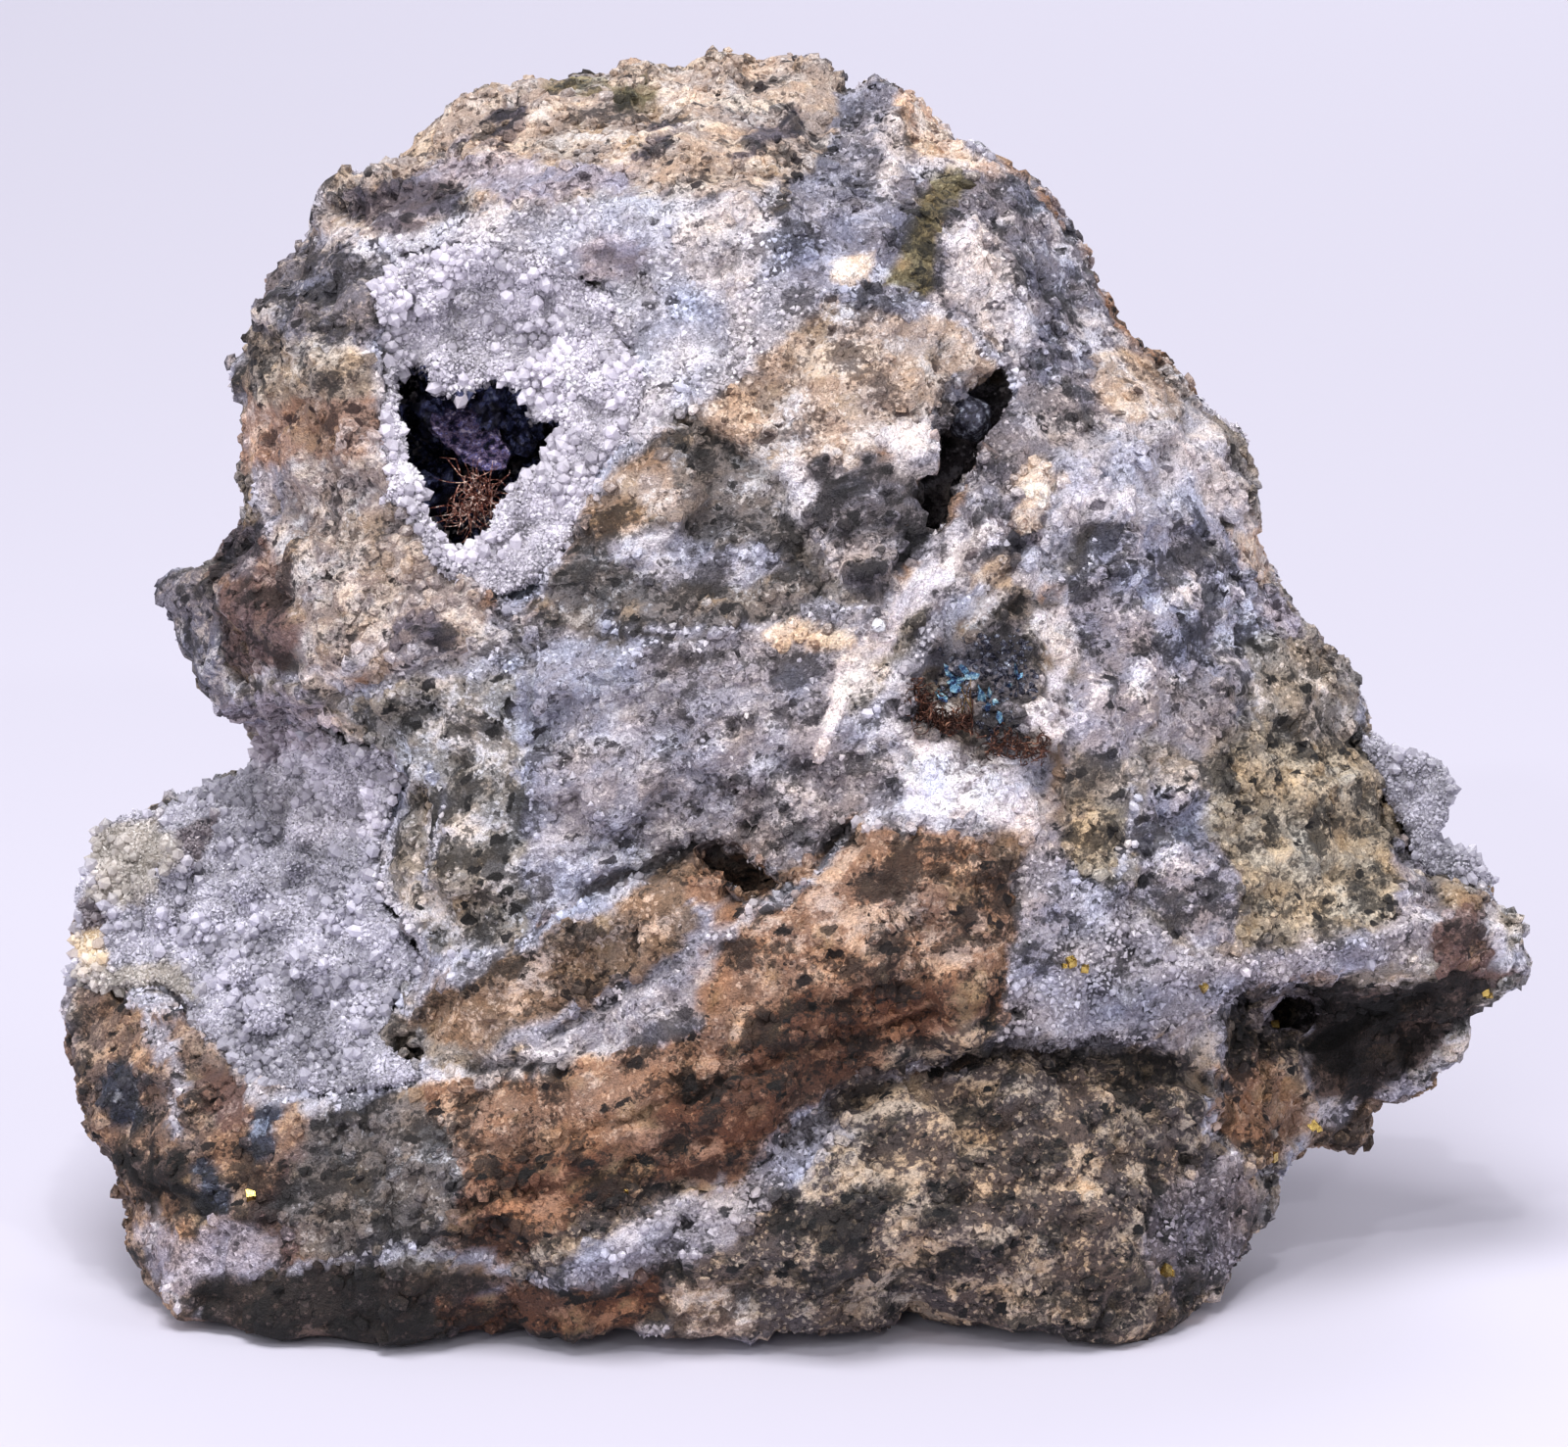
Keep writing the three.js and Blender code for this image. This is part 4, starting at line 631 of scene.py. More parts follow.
def store(mesh, values, shade):
    """Writes the painted values as the attributes that the materials read; the shade factor darkens the tones
    as painted shade.
    """
    count = len(mesh.vertices)
    for name, columns in (("dark_tone", DARK), ("middle_tone", MIDDLE), ("light_tone", LIGHT)):
        tone = np.ones((count, 4), np.float32)
        tone[:, :3] = np.clip(values[:, columns] * shade[:, None], 0, 1)
        layer = mesh.attributes.new(name, "FLOAT_COLOR", "POINT")
        layer.data.foreach_set("color", tone.ravel())
    for name, column in (("dark_share", DARK_SHARE), ("light_share", LIGHT_SHARE), ("sugar", SUGAR)):
        layer = mesh.attributes.new(name, "FLOAT", "POINT")
        layer.data.foreach_set("value", values[:, column].astype(np.float32))


# The size of a clast where the photograph doesn't show it, in millimetres, and the kinds it can be
BACK_CLAST = 15
BACK_KINDS = ["pepper", "brown_clast", "olive_block", "slate", "cream_block", "second_clast", "field",
              "shoulder"]


def breccia(places):
    """The rock where the photograph doesn't show it: clasts of the same kinds in grey quartz."""
    bent = places + 2.2 * np.stack([lumps(places, 6, s) for s in (31, 32, 33)], 1)
    bent += 0.8 * np.stack([lumps(places, 1.5, s) for s in (34, 35, 36)], 1)
    near, next_near, _, chance = cells(bent, BACK_CLAST, 40)
    picked = np.minimum((chance[:, 0] * len(BACK_KINDS)).astype(int), len(BACK_KINDS) - 1)
    values = np.stack([kind_values(kind) for kind in BACK_KINDS])[picked]
    vein = 1 - ramp(next_near - near + 0.8 * lumps(places, 3, 37), 0.4, 1.2)
    return values + (kind_values("grey_vein") - values) * vein[:, None]


# Materials

class Shade:
    """A material's nodes, wired up in short lines."""

    def __init__(self, name):
        self.material = bpy.data.materials.new(name)
        self.material.use_nodes = True
        self.nodes = self.material.node_tree.nodes
        self.surface = self.nodes["Principled BSDF"]

    def add(self, kind, inputs=None, **settings):
        node = self.nodes.new(kind)
        for key, value in settings.items():
            setattr(node, key, value)
        for key, value in (inputs or {}).items():
            self.join(value, node.inputs[key])
        return node

    def join(self, value, socket):
        if isinstance(value, bpy.types.NodeSocket):
            self.material.node_tree.links.new(value, socket)
        else:
            socket.default_value = value

    def set(self, **inputs):
        for key, value in inputs.items():
            self.join(value, self.surface.inputs[key.replace("_", " ")])

    def math(self, operation, a, b=0.0):
        return self.add("ShaderNodeMath", {0: a, 1: b}, operation=operation).outputs[0]

    def total(self, *parts):
        """The sum of (value, factor) parts."""
        whole = None
        for value, factor in parts:
            part = self.math("MULTIPLY", value, factor)
            whole = part if whole is None else self.math("ADD", whole, part)
        return whole

    def vector(self, operation, a, b=(0.0, 0.0, 0.0)):
        return self.add("ShaderNodeVectorMath", {0: a, 1: b}, operation=operation).outputs[0]

    def scaled(self, a, factor):
        return self.add("ShaderNodeVectorMath", {0: a, "Scale": factor}, operation="SCALE").outputs[0]

    def millimetres(self):
        place = self.add("ShaderNodeTexCoord").outputs["Object"]
        return self.scaled(place, 1 / MM)

    def bedded(self, place, draw):
        """The place drawn together along the rock's bedding, so that what is sown on it comes out long."""
        bedding = tuple(0.95 * RIGHT + 0.31 * UP)
        dot = self.add("ShaderNodeVectorMath", {0: place, 1: bedding}, operation="DOT_PRODUCT")
        step = self.scaled(self.vector("ADD", bedding), self.math("MULTIPLY", dot.outputs["Value"], -draw))
        return self.vector("ADD", place, step)

    def noise(self, place, scale, detail=4.0, roughness=0.6, shift=0.0):
        moved = self.vector("ADD", place, (shift, shift, shift)) if shift else place
        inputs = {"Vector": moved, "Scale": scale, "Detail": detail, "Roughness": roughness}
        return self.add("ShaderNodeTexNoise", inputs).outputs["Fac"]

    def bending(self, place, scale, reach):
        """A wandering step of up to about half the reach, to make the edges of grains ragged."""
        node = self.add("ShaderNodeTexNoise", {"Vector": place, "Scale": scale, "Detail": 3.0})
        return self.scaled(self.vector("SUBTRACT", node.outputs["Color"], (0.5, 0.5, 0.5)), reach)

    def grains(self, place, scale):
        """Grains of mineral: how far from a grain's middle, and a chance colour and value for each."""
        node = self.add("ShaderNodeTexVoronoi", {"Vector": place, "Scale": scale})
        chance = self.add("ShaderNodeSeparateColor", {"Color": node.outputs["Color"]}).outputs["Green"]
        return node.outputs["Distance"], node.outputs["Color"], chance

    def attribute(self, name, output="Color"):
        return self.add("ShaderNodeAttribute", attribute_name=name).outputs[output]

    def between(self, value, low, high):
        inputs = {"Value": value, "From Min": low, "From Max": high}
        return self.add("ShaderNodeMapRange", inputs, interpolation_type="SMOOTHSTEP").outputs["Result"]

    def mix(self, share, a, b, blend="MIX"):
        node = self.add("ShaderNodeMix", {0: share, 6: a, 7: b}, data_type="RGBA", blend_type=blend)
        return node.outputs[2]

    def times(self, colour, value):
        grey = self.add("ShaderNodeCombineColor", {0: value, 1: value, 2: value}).outputs[0]
        return self.mix(1.0, colour, grey, "MULTIPLY")

    def faceted(self, chance, strength):
        """The surface's own direction, turned a chance way in each grain, as crystal faces are."""
        way = self.scaled(self.vector("SUBTRACT", chance, (0.5, 0.5, 0.5)), strength)
        normal = self.add("ShaderNodeNewGeometry").outputs["Normal"]
        return self.vector("NORMALIZE", self.vector("ADD", normal, way))

    def bumped(self, height, depth, normal=None):
        inputs = {"Height": height, "Distance": depth * MM, "Strength": 1.0}
        if normal is not None:
            inputs["Normal"] = normal
        return self.add("ShaderNodeBump", inputs).outputs["Normal"]


def dark_mineral(m, cloud, speck, off, chance, fine_chance):
    """Where the dark mineral shows: as ragged grains, fine specks and patches."""
    dark_share = m.attribute("dark_share", "Fac")
    crowd = m.math("MULTIPLY", dark_share, m.total((m.between(cloud, 0.42, 0.60), 1.7), (1.0, 0.2)))
    ragged = m.total((off, 1.0), (speck, 0.8), (1.0, -0.4))
    picked = m.between(m.total((chance, 1.0), (crowd, 0.32)), 0.98, 1.04)
    grains = m.math("MULTIPLY", picked, m.between(ragged, 0.62, 0.48))
    specks = m.between(m.total((fine_chance, 1.0), (crowd, 0.50)), 0.98, 1.05)
    patches = m.between(m.total((cloud, 1.0), (speck, 0.35), (dark_share, 0.30)), 0.79, 0.88)
    dark = m.math("MAXIMUM", grains, m.math("MULTIPLY", specks, 0.7))
    return m.math("MAXIMUM", dark, m.math("MULTIPLY", patches, 0.85))


def light_mineral(m, patch, speck, fine_chance):
    """Where the light mineral shows: as patches and fine specks."""
    light_share = m.attribute("light_share", "Fac")
    patches = m.between(m.total((patch, 1.0), (speck, 0.30), (light_share, 0.34)), 0.745, 0.835)
    specks = m.between(m.total((fine_chance, -1.0), (light_share, 0.5)), -0.02, 0.10)
    return m.math("MAXIMUM", patches, m.math("MULTIPLY", specks, 0.6))


def rock_material(name, grain=1.0):
    """Broken breccia: patches, grains and specks of dark and light mineral, and quartz that glints."""
    m = Shade(name)
    place = m.millimetres()
    bent = m.vector("ADD", m.bedded(place, 0.35), m.bending(place, 1.4 * grain, 0.5))
    sugar = m.attribute("sugar", "Fac")
    cloud = m.noise(bent, 0.42 * grain, 5.0, 0.62)
    patch = m.noise(bent, 0.45 * grain, 6.0, 0.64, 91.0)
    speck = m.noise(place, 2.6 * grain, 3.0, 0.7, 37.0)
    grit = m.noise(place, 8.0 * grain, 2.0, 0.65, 11.0)
    off, _, chance = m.grains(bent, 1.6 * grain)
    _, fine_way, fine_chance = m.grains(place, 5.0 * grain)
    _, _, dust_chance = m.grains(place, 9.0 * grain)
    dark = dark_mineral(m, cloud, speck, off, chance, fine_chance)
    light = light_mineral(m, patch, speck, fine_chance)
    colour = m.mix(light, m.attribute("middle_tone"), m.attribute("light_tone"))
    colour = m.mix(dark, colour, m.attribute("dark_tone"))
    hue = m.mix(m.between(m.noise(bent, 0.6 * grain, 4.0, 0.64, 53.0), 0.38, 0.62), COOL, WARM)
    hue = m.mix(m.math("MULTIPLY", sugar, 0.8), hue, (1.0, 1.0, 1.0, 1.0))
    colour = m.mix(1.0, colour, hue, "MULTIPLY")
    flicker = m.total((grit, 1.3), (fine_chance, -0.22), (dust_chance, 0.30), (cloud, -0.5), (1.0, 0.56))
    colour = m.times(colour, flicker)
    height = m.total((speck, 1.0), (grit, 0.5))
    glint = m.faceted(fine_way, m.math("MULTIPLY", sugar, 0.9))
    rough_value = m.math("SUBTRACT", 0.80, m.math("MULTIPLY", sugar, 0.5))
    m.set(Base_Color=colour, Roughness=rough_value, Normal=m.bumped(height, 0.34, glint))
    return m.material


def crystal_material(name, roughness):
    """Milky glassy quartz in the ground's colours, each crystal a little lighter or darker than the next."""
    m = Shade(name)
    place = m.millimetres()
    cloud = m.noise(place, 1.8, 4.0)
    level = m.total((m.attribute("own_tone", "Fac"), 0.45), (cloud, 0.6), (1.0, -0.05))
    colour = m.mix(m.between(level, 0.0, 1.0), m.attribute("middle_tone"), m.attribute("light_tone"))
    colour = m.times(colour, m.total((m.attribute("own_tone", "Fac"), 0.12), (1.0, 0.91)))
    m.set(Base_Color=colour, Roughness=roughness, IOR=1.54, Normal=m.bumped(m.noise(place, 9.0, 2.0), 0.04))
    m.set(Subsurface_Weight=0.5, Subsurface_Radius=(1.0, 1.0, 1.0), Subsurface_Scale=0.2 * MM)
    return m.material


def metal_material(name, stops, roughness, scale, bump=0.04, metallic=1.0):
    """Tarnished metal whose colour runs through the stops in clouds. The first two stops are its ends."""
    m = Shade(name)
    place = m.millimetres()
    ramp_node = m.add("ShaderNodeValToRGB", {"Fac": m.noise(place, scale, 4.0, 0.65)})
    stops_in = ramp_node.color_ramp
    for n, (position, colour) in enumerate(stops):
        stop = stops_in.elements[n] if n < 2 else stops_in.elements.new(position)
        stop.position = position
        stop.color = (*srgb(colour), 1.0)
    m.set(Base_Color=ramp_node.outputs["Color"], Metallic=metallic, Roughness=roughness,
          Normal=m.bumped(m.noise(place, scale * 6, 3.0), bump))
    return m.material


# How far the rock's colours stray to the blue and to the tan
COOL = (0.93, 0.97, 1.05, 1.0)
WARM = (1.07, 0.99, 0.90, 1.0)
ROCK = rock_material("breccia")
CRUST = rock_material("quartz_crust", 1.3)
QUARTZ = crystal_material("milky_quartz", 0.15)


# The rock

def carve(places, normals):
    """The rock's own breakage: chips, roughness, cracks and small hollows; and how deep each place lies, for
    the painted shade.
    """
    u, v, _ = drawn(places)
    face = ramp(normals @ TOWARDS, 0.0, 0.35)
    chips = broken(places, 6.0, 0.13, 45) + broken(places, 3.0, 0.20, 50) + broken(places, 1.4, 0.22, 60)
    fine = 0.14 * rough(places, 2.4, 70) + 0.12 * rough(places, 0.9, 80, 2)
    lift = np.clip(chips + fine, -0.9, 0.8)
    out = places + normals * lift[:, None]
    push = np.zeros(len(places))
    bend_u = u + 6 * lumps(places, 1.8, 90) + 3 * lumps(places, 0.8, 92)
    bend_v = v + 6 * lumps(places, 1.8, 91) + 3 * lumps(places, 0.8, 93)
    for width, depth, line in CRACKS:
        off = from_line(bend_u, bend_v, line) * PIXEL
        push = np.maximum(push, depth * (1 - ramp(off, 0.25 * width, 0.9 * width)))
    for cu, cv, radius, depth in HOLLOWS:
        off = np.hypot(bend_u - cu, bend_v - cv)
        push = np.maximum(push, depth * (1 - ramp(off, 0.5 * radius, 1.15 * radius)))
    push *= face
    out -= TOWARDS * push[:, None]
    # Painted shade: places that dip below their neighbours, and the cracks and hollows, are darkened
    deep = 0.5 * ramp(-lift, 0.05, 0.6) + 1.3 * ramp(push, 0.15, 1.1)
    return out, np.minimum(deep, 1.5)


def keep_foot(before, after):
    """Leaves the ground patches under the rock as they were, and nothing below them."""
    hold = 1 - ramp(before[:, 2], 0.1, 1.2)
    after = after + (before - after) * hold[:, None]
    after[:, 2] = np.maximum(after[:, 2], 0.0)
    return after


def darkened(values, places):
    """The walls inside the hollows, painted dark: patches of dark sulphide, and painted shade deep inside."""
    u, v, w = drawn(places)
    u = u + 5 * lumps(places, 1.1, 95)
    v = v + 5 * lumps(places, 1.1, 96)
    for level, bottom, outline in VUGS:
        inside = ramp(within(u, v, outline), -3, 4)
        inside *= ramp(level - w, -0.4, 1.2) * ramp(w, bottom, bottom + 0.4)
        metal = 0.5 * ramp(rough(places, 2.2, 97), 0.2, 0.9)
        wall = kind_values("vug_wall") + (kind_values("galena") - kind_values("vug_wall")) * metal[:, None]
        values = values + (wall - values) * inside[:, None]
    return values


def dressed_rock():
    piece = skin_over("matrix", "breccia_rock", ROCK_GRID)
    mesh = piece.data
    before = places_of(mesh)
    after, deep = carve(before, facing_of(mesh))
    after = keep_foot(before, after)
    move(mesh, after)
    values = varied(after, paint(mesh, after, AREAS, VEINS + RIM_VEINS, breccia(after)))
    # Painted shade: the tones darkened where the rock lies deep
    store(mesh, darkened(values, after), 1 - 0.5 * deep)
    mesh.materials.append(ROCK)
    return worn(piece, "matrix")


def dressed_crust(node, name, areas, seed, kind="bright_druse"):
    piece = skin_over(node, name, CRUST_GRID)
    mesh = piece.data
    before = places_of(mesh)
    near, _, _, chance = cells(before, CLUSTER, seed)
    small, _, _, small_chance = cells(before, KNOT, seed + 5)
    lift = 0.9 * (1 - near / 1.7) * (0.2 + chance[:, 0]) + 0.35 * (0.6 - small) * (0.3 + small_chance[:, 0])
    lift += 0.10 * rough(before, 0.8, seed + 3, 2)
    after = before + facing_of(mesh) * lift[:, None]
    move(mesh, after)
    base = np.tile(kind_values(kind), (len(after), 1))
    values = paint(mesh, after, areas, [], base)
    values[:, TONES] *= 1.17 + 0.20 * rough(after, 5.0, seed + 9, 4)[:, None]
    # Painted shade: the tones darkened in the gaps between the clusters and knots of crystals
    store(mesh, darkened(values, after), 1 - 0.30 * ramp(near, 0.7, 1.6) - 0.14 * ramp(small, 0.35, 0.8))
    mesh.materials.append(CRUST)
    return worn(piece, node)


# Crystals and chips, sown by rule

def quartz_crystal():
    """A six-sided crystal with a pointed end, one unit across and a little over one long."""
    shape = bmesh.new()
    rings = []
    for radius, height in ((0.42, -0.3), (0.5, 0.45)):
        turns = [math.radians(60 * n) for n in range(6)]
        rings.append([shape.verts.new((radius * math.cos(t), radius * math.sin(t), height)) for t in turns])
    tip = shape.verts.new((0.07, 0.03, 0.95))
    for n in range(6):
        m = (n + 1) % 6
        shape.faces.new((rings[0][n], rings[0][m], rings[1][m], rings[1][n]))
        shape.faces.new((rings[1][n], rings[1][m], tip))
    return linked("crystal_form", joined(shape, "crystal_form"))


def quartz_grain():
    """Only the six-sided point of a crystal, for the finest sugar."""
    shape = bmesh.new()
    foot = []
    for n in range(6):
        turn = math.radians(60 * n)
        foot.append(shape.verts.new((0.55 * math.cos(turn), 0.55 * math.sin(turn), -0.3)))
    tip = shape.verts.new((-0.06, 0.05, 0.6))
    for n in range(6):
        shape.faces.new((foot[n], foot[(n + 1) % 6], tip))
    return linked("grain_form", joined(shape, "grain_form"))


def rock_chip():
    """An angular chip of rock, half sunk where it sits."""
    shape = bmesh.new()
    bmesh.ops.create_icosphere(shape, subdivisions=1, radius=0.5)
    chance = random.Random(4)
    for corner in shape.verts:
        corner.co = Vector(c * chance.uniform(0.7, 1.25) for c in corner.co)
        corner.co.z *= 0.7
    return linked("chip_form", joined(shape, "chip_form"))


class Tree:
    """A geometry tree, wired up in short lines."""

    def __init__(self, name, sizes):
        self.group = bpy.data.node_groups.new(name, "GeometryNodeTree")
        face = self.group.interface
        face.new_socket("Geometry", in_out="INPUT", socket_type="NodeSocketGeometry")
        face.new_socket("Geometry", in_out="OUTPUT", socket_type="NodeSocketGeometry")
        for key, value in sizes.items():
            kind = "NodeSocketInt" if isinstance(value, int) else "NodeSocketFloat"
            face.new_socket(key, in_out="INPUT", socket_type=kind).default_value = value
        self.source = self.group.nodes.new("NodeGroupInput")
        self.result = self.group.nodes.new("NodeGroupOutput")

    def add(self, kind, inputs=None, **settings):
        node = self.group.nodes.new(kind)
        for key, value in settings.items():
            setattr(node, key, value)
        for key, value in (inputs or {}).items():
            if isinstance(value, bpy.types.NodeSocket):
                self.group.links.new(value, node.inputs[key])
            else:
                node.inputs[key].default_value = value
        return node

    def size(self, name):
        return self.source.outputs[name]

    def end(self, geometry, material):
        real = self.add("GeometryNodeRealizeInstances", {"Geometry": geometry})
        finish = self.add("GeometryNodeSetMaterial", {"Geometry": real.outputs[0], "Material": material})
        self.group.links.new(finish.outputs[0], self.result.inputs[0])

    def run(self, piece):
        modifier = piece.modifiers.new(self.group.name, "NODES")
        modifier.node_group = self.group
        return finished(piece)


# How many places a square metre is tried with, before those too close to another are dropped
MOST_PLACES = 6e7


def sow(ground, share, form, name, material, spacing, size, spread, lean, seed):
    """Copies of a form over a ground mesh, thick where the share says so, each with its own tone. Spacing
    and size are in millimetres, spread is a share of the size, and lean is in radians."""
    mesh = ground.copy()
    layer = mesh.attributes.new("grows", "FLOAT", "POINT")
    layer.data.foreach_set("value", np.clip(share, 0, 1).astype(np.float32))
    tree = Tree(name, {"Spacing": spacing * MM, "Smallest": size * (1 - spread) * MM,
                       "Largest": size * (1 + spread) * MM, "Lean": lean, "Seed": seed})
    grows = tree.add("GeometryNodeInputNamedAttribute", {"Name": "grows"}, data_type="FLOAT")
    points = tree.add("GeometryNodeDistributePointsOnFaces", {
        "Mesh": tree.source.outputs[0], "Distance Min": tree.size("Spacing"), "Density Max": MOST_PLACES,
        "Density Factor": grows.outputs[0], "Seed": tree.size("Seed")}, distribute_method="POISSON")
    tilt = tree.add("FunctionNodeRandomValue", {"Seed": tree.size("Seed")}, data_type="FLOAT_VECTOR")
    back = tree.add("ShaderNodeMath", {0: tree.size("Lean"), 1: -1.0}, operation="MULTIPLY").outputs[0]
    lean_in = tree.size("Lean")
    least = tree.add("ShaderNodeCombineXYZ", {0: back, 1: back, 2: -3.14})
    most = tree.add("ShaderNodeCombineXYZ", {0: lean_in, 1: lean_in, 2: 3.14})
    tree.group.links.new(least.outputs[0], tilt.inputs[0])
    tree.group.links.new(most.outputs[0], tilt.inputs[1])
    turned = tree.add("FunctionNodeRotateRotation", {
        "Rotation": points.outputs["Rotation"], "Rotate By": tilt.outputs[0]}, rotation_space="LOCAL")
    chance = tree.add("FunctionNodeRandomValue", {
        2: tree.size("Smallest"), 3: tree.size("Largest"), "Seed": tree.size("Seed")}, data_type="FLOAT")
    shape = tree.add("GeometryNodeObjectInfo", {"Object": form})
    placed = tree.add("GeometryNodeInstanceOnPoints", {
        "Points": points.outputs["Points"], "Instance": shape.outputs["Geometry"],
        "Rotation": turned.outputs[0], "Scale": chance.outputs[1]})
    tone = tree.add("FunctionNodeRandomValue", {"Seed": 9}, data_type="FLOAT")
    toned = tree.add("GeometryNodeStoreNamedAttribute", {
        "Geometry": placed.outputs[0], "Name": "own_tone", "Value": tone.outputs[1]},
        data_type="FLOAT", domain="INSTANCE")
    tree.end(toned.outputs[0], material)
    return worn(tree.run(linked(name, mesh)))


def sown_crusts(crystal, grain):
    for crust, name, coarse, seed in (
            (slope, "slope", 0.50, 1), (lining, "vug", 0.52, 2), (edge, "edge", 0.46, 3)):
        mesh = crust.data
        places = places_of(mesh)
        seen_side = ramp(facing_of(mesh) @ TOWARDS, -0.3, 0.1)
        patchy = ramp(rough(places, 1.6, 130 + seed), -0.4, 0.7)
        sow(mesh, seen_side * patchy, crystal, name + "_crystals", QUARTZ,
            spacing=0.44, size=coarse, spread=0.6, lean=0.6, seed=seed)
        sow(mesh, seen_side, grain, name + "_sugar", QUARTZ,
            spacing=0.17, size=0.25, spread=0.5, lean=0.9, seed=seed + 10)


def sown_rock(crystal, grain, chip):
    mesh = rock.data
    places = places_of(mesh)
    sugar = share_of(mesh, "sugar")
    off_foot = ramp(places[:, 2], 0.6, 1.5)
    patchy = ramp(rough(places, 2.5, 140), -0.9, 0.4)
    grains_here = ramp(sugar, 0.45, 0.85) * patchy * off_foot
    crystals_here = ramp(sugar, 0.8, 0.95) * ramp(rough(places, 2.0, 145), 0.1, 0.8) * off_foot
    chips_here = (1 - ramp(sugar, 0.45, 0.8)) * ramp(rough(places, 3.0, 150), -0.8, 0.6) * off_foot
    sow(mesh, grains_here, grain, "vein_sugar", QUARTZ,
        spacing=0.26, size=0.28, spread=0.6, lean=0.9, seed=4)
    sow(mesh, crystals_here, crystal, "vein_crystals", QUARTZ,
        spacing=0.45, size=0.38, spread=0.6, lean=0.8, seed=5)
    sow(mesh, chips_here, chip, "rock_chips", ROCK,
        spacing=0.72, size=0.70, spread=0.6, lean=0.5, seed=6)


rock = dressed_rock()
slope = dressed_crust("slope_druse", "slope_crust", CRUST_AREAS, 100)
lining = dressed_crust("vug_druse", "vug_crust", [], 110)
edge = dressed_crust("edge_druse", "edge_crust", [], 120, "druse")
forms = [quartz_crystal(), quartz_grain(), rock_chip()]
sown_crusts(forms[0], forms[1])
sown_rock(*forms)
for form in forms:
    bpy.data.objects.remove(form)


rock_faces = BVHTree.FromObject(rock, bpy.context.evaluated_depsgraph_get())


def on_rock(u, v):
    """The place where the view through a drawn point first meets the rock."""
    eye = Vector(seen(*CENTRE, VIEW_DISTANCE)) * MM
    aim = (Vector(seen(u, v, 0)) * MM - eye).normalized()
    return rock_faces.ray_cast(eye, aim)[0]


# Silver wires

SILVER = metal_material("tarnished_silver", [
    (0.41, (0.24, 0.11, 0.09)), (0.60, (1.0, 0.92, 0.88)), (0.48, (0.52, 0.28, 0.22)),
    (0.55, (0.84, 0.66, 0.60))], roughness=0.22, scale=3.0, metallic=0.65)
DARK_SILVER = metal_material("dark_silver", [
    (0.36, (0.09, 0.05, 0.05)), (0.68, (0.66, 0.49, 0.40)), (0.46, (0.21, 0.12, 0.10)),
    (0.57, (0.36, 0.22, 0.17))], roughness=0.35, scale=2.2, metallic=0.6)
STRAW_SILVER = metal_material("straw_silver", [
    (0.35, (0.36, 0.24, 0.14)), (0.65, (0.80, 0.68, 0.46))], roughness=0.35, scale=1.8)

# How thick the wires are, in millimetres, and how many the nest has
FINE_WIRE = 0.07
MAT_WIRE = 0.085
NEST_WIRES = 120
# The mats' middle lines, across and down in the photograph's pixels
MAT_LINE = [(938, 696), (938, 716), (950, 734), (968, 740), (986, 738), (996, 728)]
TUFT_LINE = [(1010, 754), (1026, 764), (1046, 768), (1070, 762)]


def any_way(chance):
    """A chance step, as likely to go one way as another."""
    return Vector((chance.gauss(0, 1), chance.gauss(0, 1), chance.gauss(0, 1)))


def curling(chance, start, way, length, curl, steps=18):
    """A wire's path: it sets off one way and keeps curling about an axis that wanders."""
    axis = any_way(chance).normalized()
    at, way = Vector(start), Vector(way).normalized()
    path = [at.copy()]
    for _ in range(steps):
        axis = (axis + 0.25 * any_way(chance)).normalized()
        way = Matrix.Rotation(curl * length / steps * chance.uniform(0.4, 1.6), 3, axis) @ way
        at = at + way * (length / steps)
        path.append(at.copy())
    return path


def wires(name, node, paths, thickness, material):
    """Many wires as one piece: each path swept by a small round section that thins to its tip."""
    curve = bpy.data.curves.new(name, "CURVE")
    curve.dimensions = "3D"
    for path in paths:
        spline = curve.splines.new("POLY")
        spline.points.add(len(path) - 1)
        for point, place in zip(spline.points, path):
            point.co = (*(place * MM), 1.0)
    source = linked(name + "_paths", curve)
    tree = Tree(name, {"Thickness": thickness * MM, "Sides": 6})
    half = tree.add("ShaderNodeMath", {0: tree.size("Thickness"), 1: 0.5}, operation="MULTIPLY")
    section = tree.add("GeometryNodeCurvePrimitiveCircle", {
        "Resolution": tree.size("Sides"), "Radius": half.outputs[0]})
    on_wire = tree.add("GeometryNodeSplineParameter")
    taper = tree.add("ShaderNodeMapRange", {
        "Value": on_wire.outputs["Factor"], "From Min": 0.5, "To Min": 1.0, "To Max": 0.35})
    chance = tree.add("FunctionNodeRandomValue", {2: 0.55, 3: 1.3, "Seed": 3}, data_type="FLOAT")
    per_wire = tree.add("GeometryNodeFieldOnDomain", {
        0: chance.outputs[1]}, domain="CURVE", data_type="FLOAT")
    radius = tree.add("ShaderNodeMath", {0: taper.outputs[0], 1: per_wire.outputs[0]}, operation="MULTIPLY")
    thick = tree.add("GeometryNodeSetCurveRadius", {
        "Curve": tree.source.outputs[0], "Radius": radius.outputs[0]})
    swept = tree.add("GeometryNodeCurveToMesh", {
        "Curve": thick.outputs[0], "Profile Curve": section.outputs[0], "Fill Caps": True})
    if "Scale" in swept.inputs:
        tree.group.links.new(radius.outputs[0], swept.inputs["Scale"])
    tree.end(swept.outputs[0], material)
    modifier = source.modifiers.new(name, "NODES")
    modifier.node_group = tree.group
    graph = bpy.context.evaluated_depsgraph_get()
    mesh = bpy.data.meshes.new_from_object(source.evaluated_get(graph))
    bpy.data.objects.remove(source)
    for face in mesh.polygons:
        face.use_smooth = True
    return worn(linked(name, mesh), node)


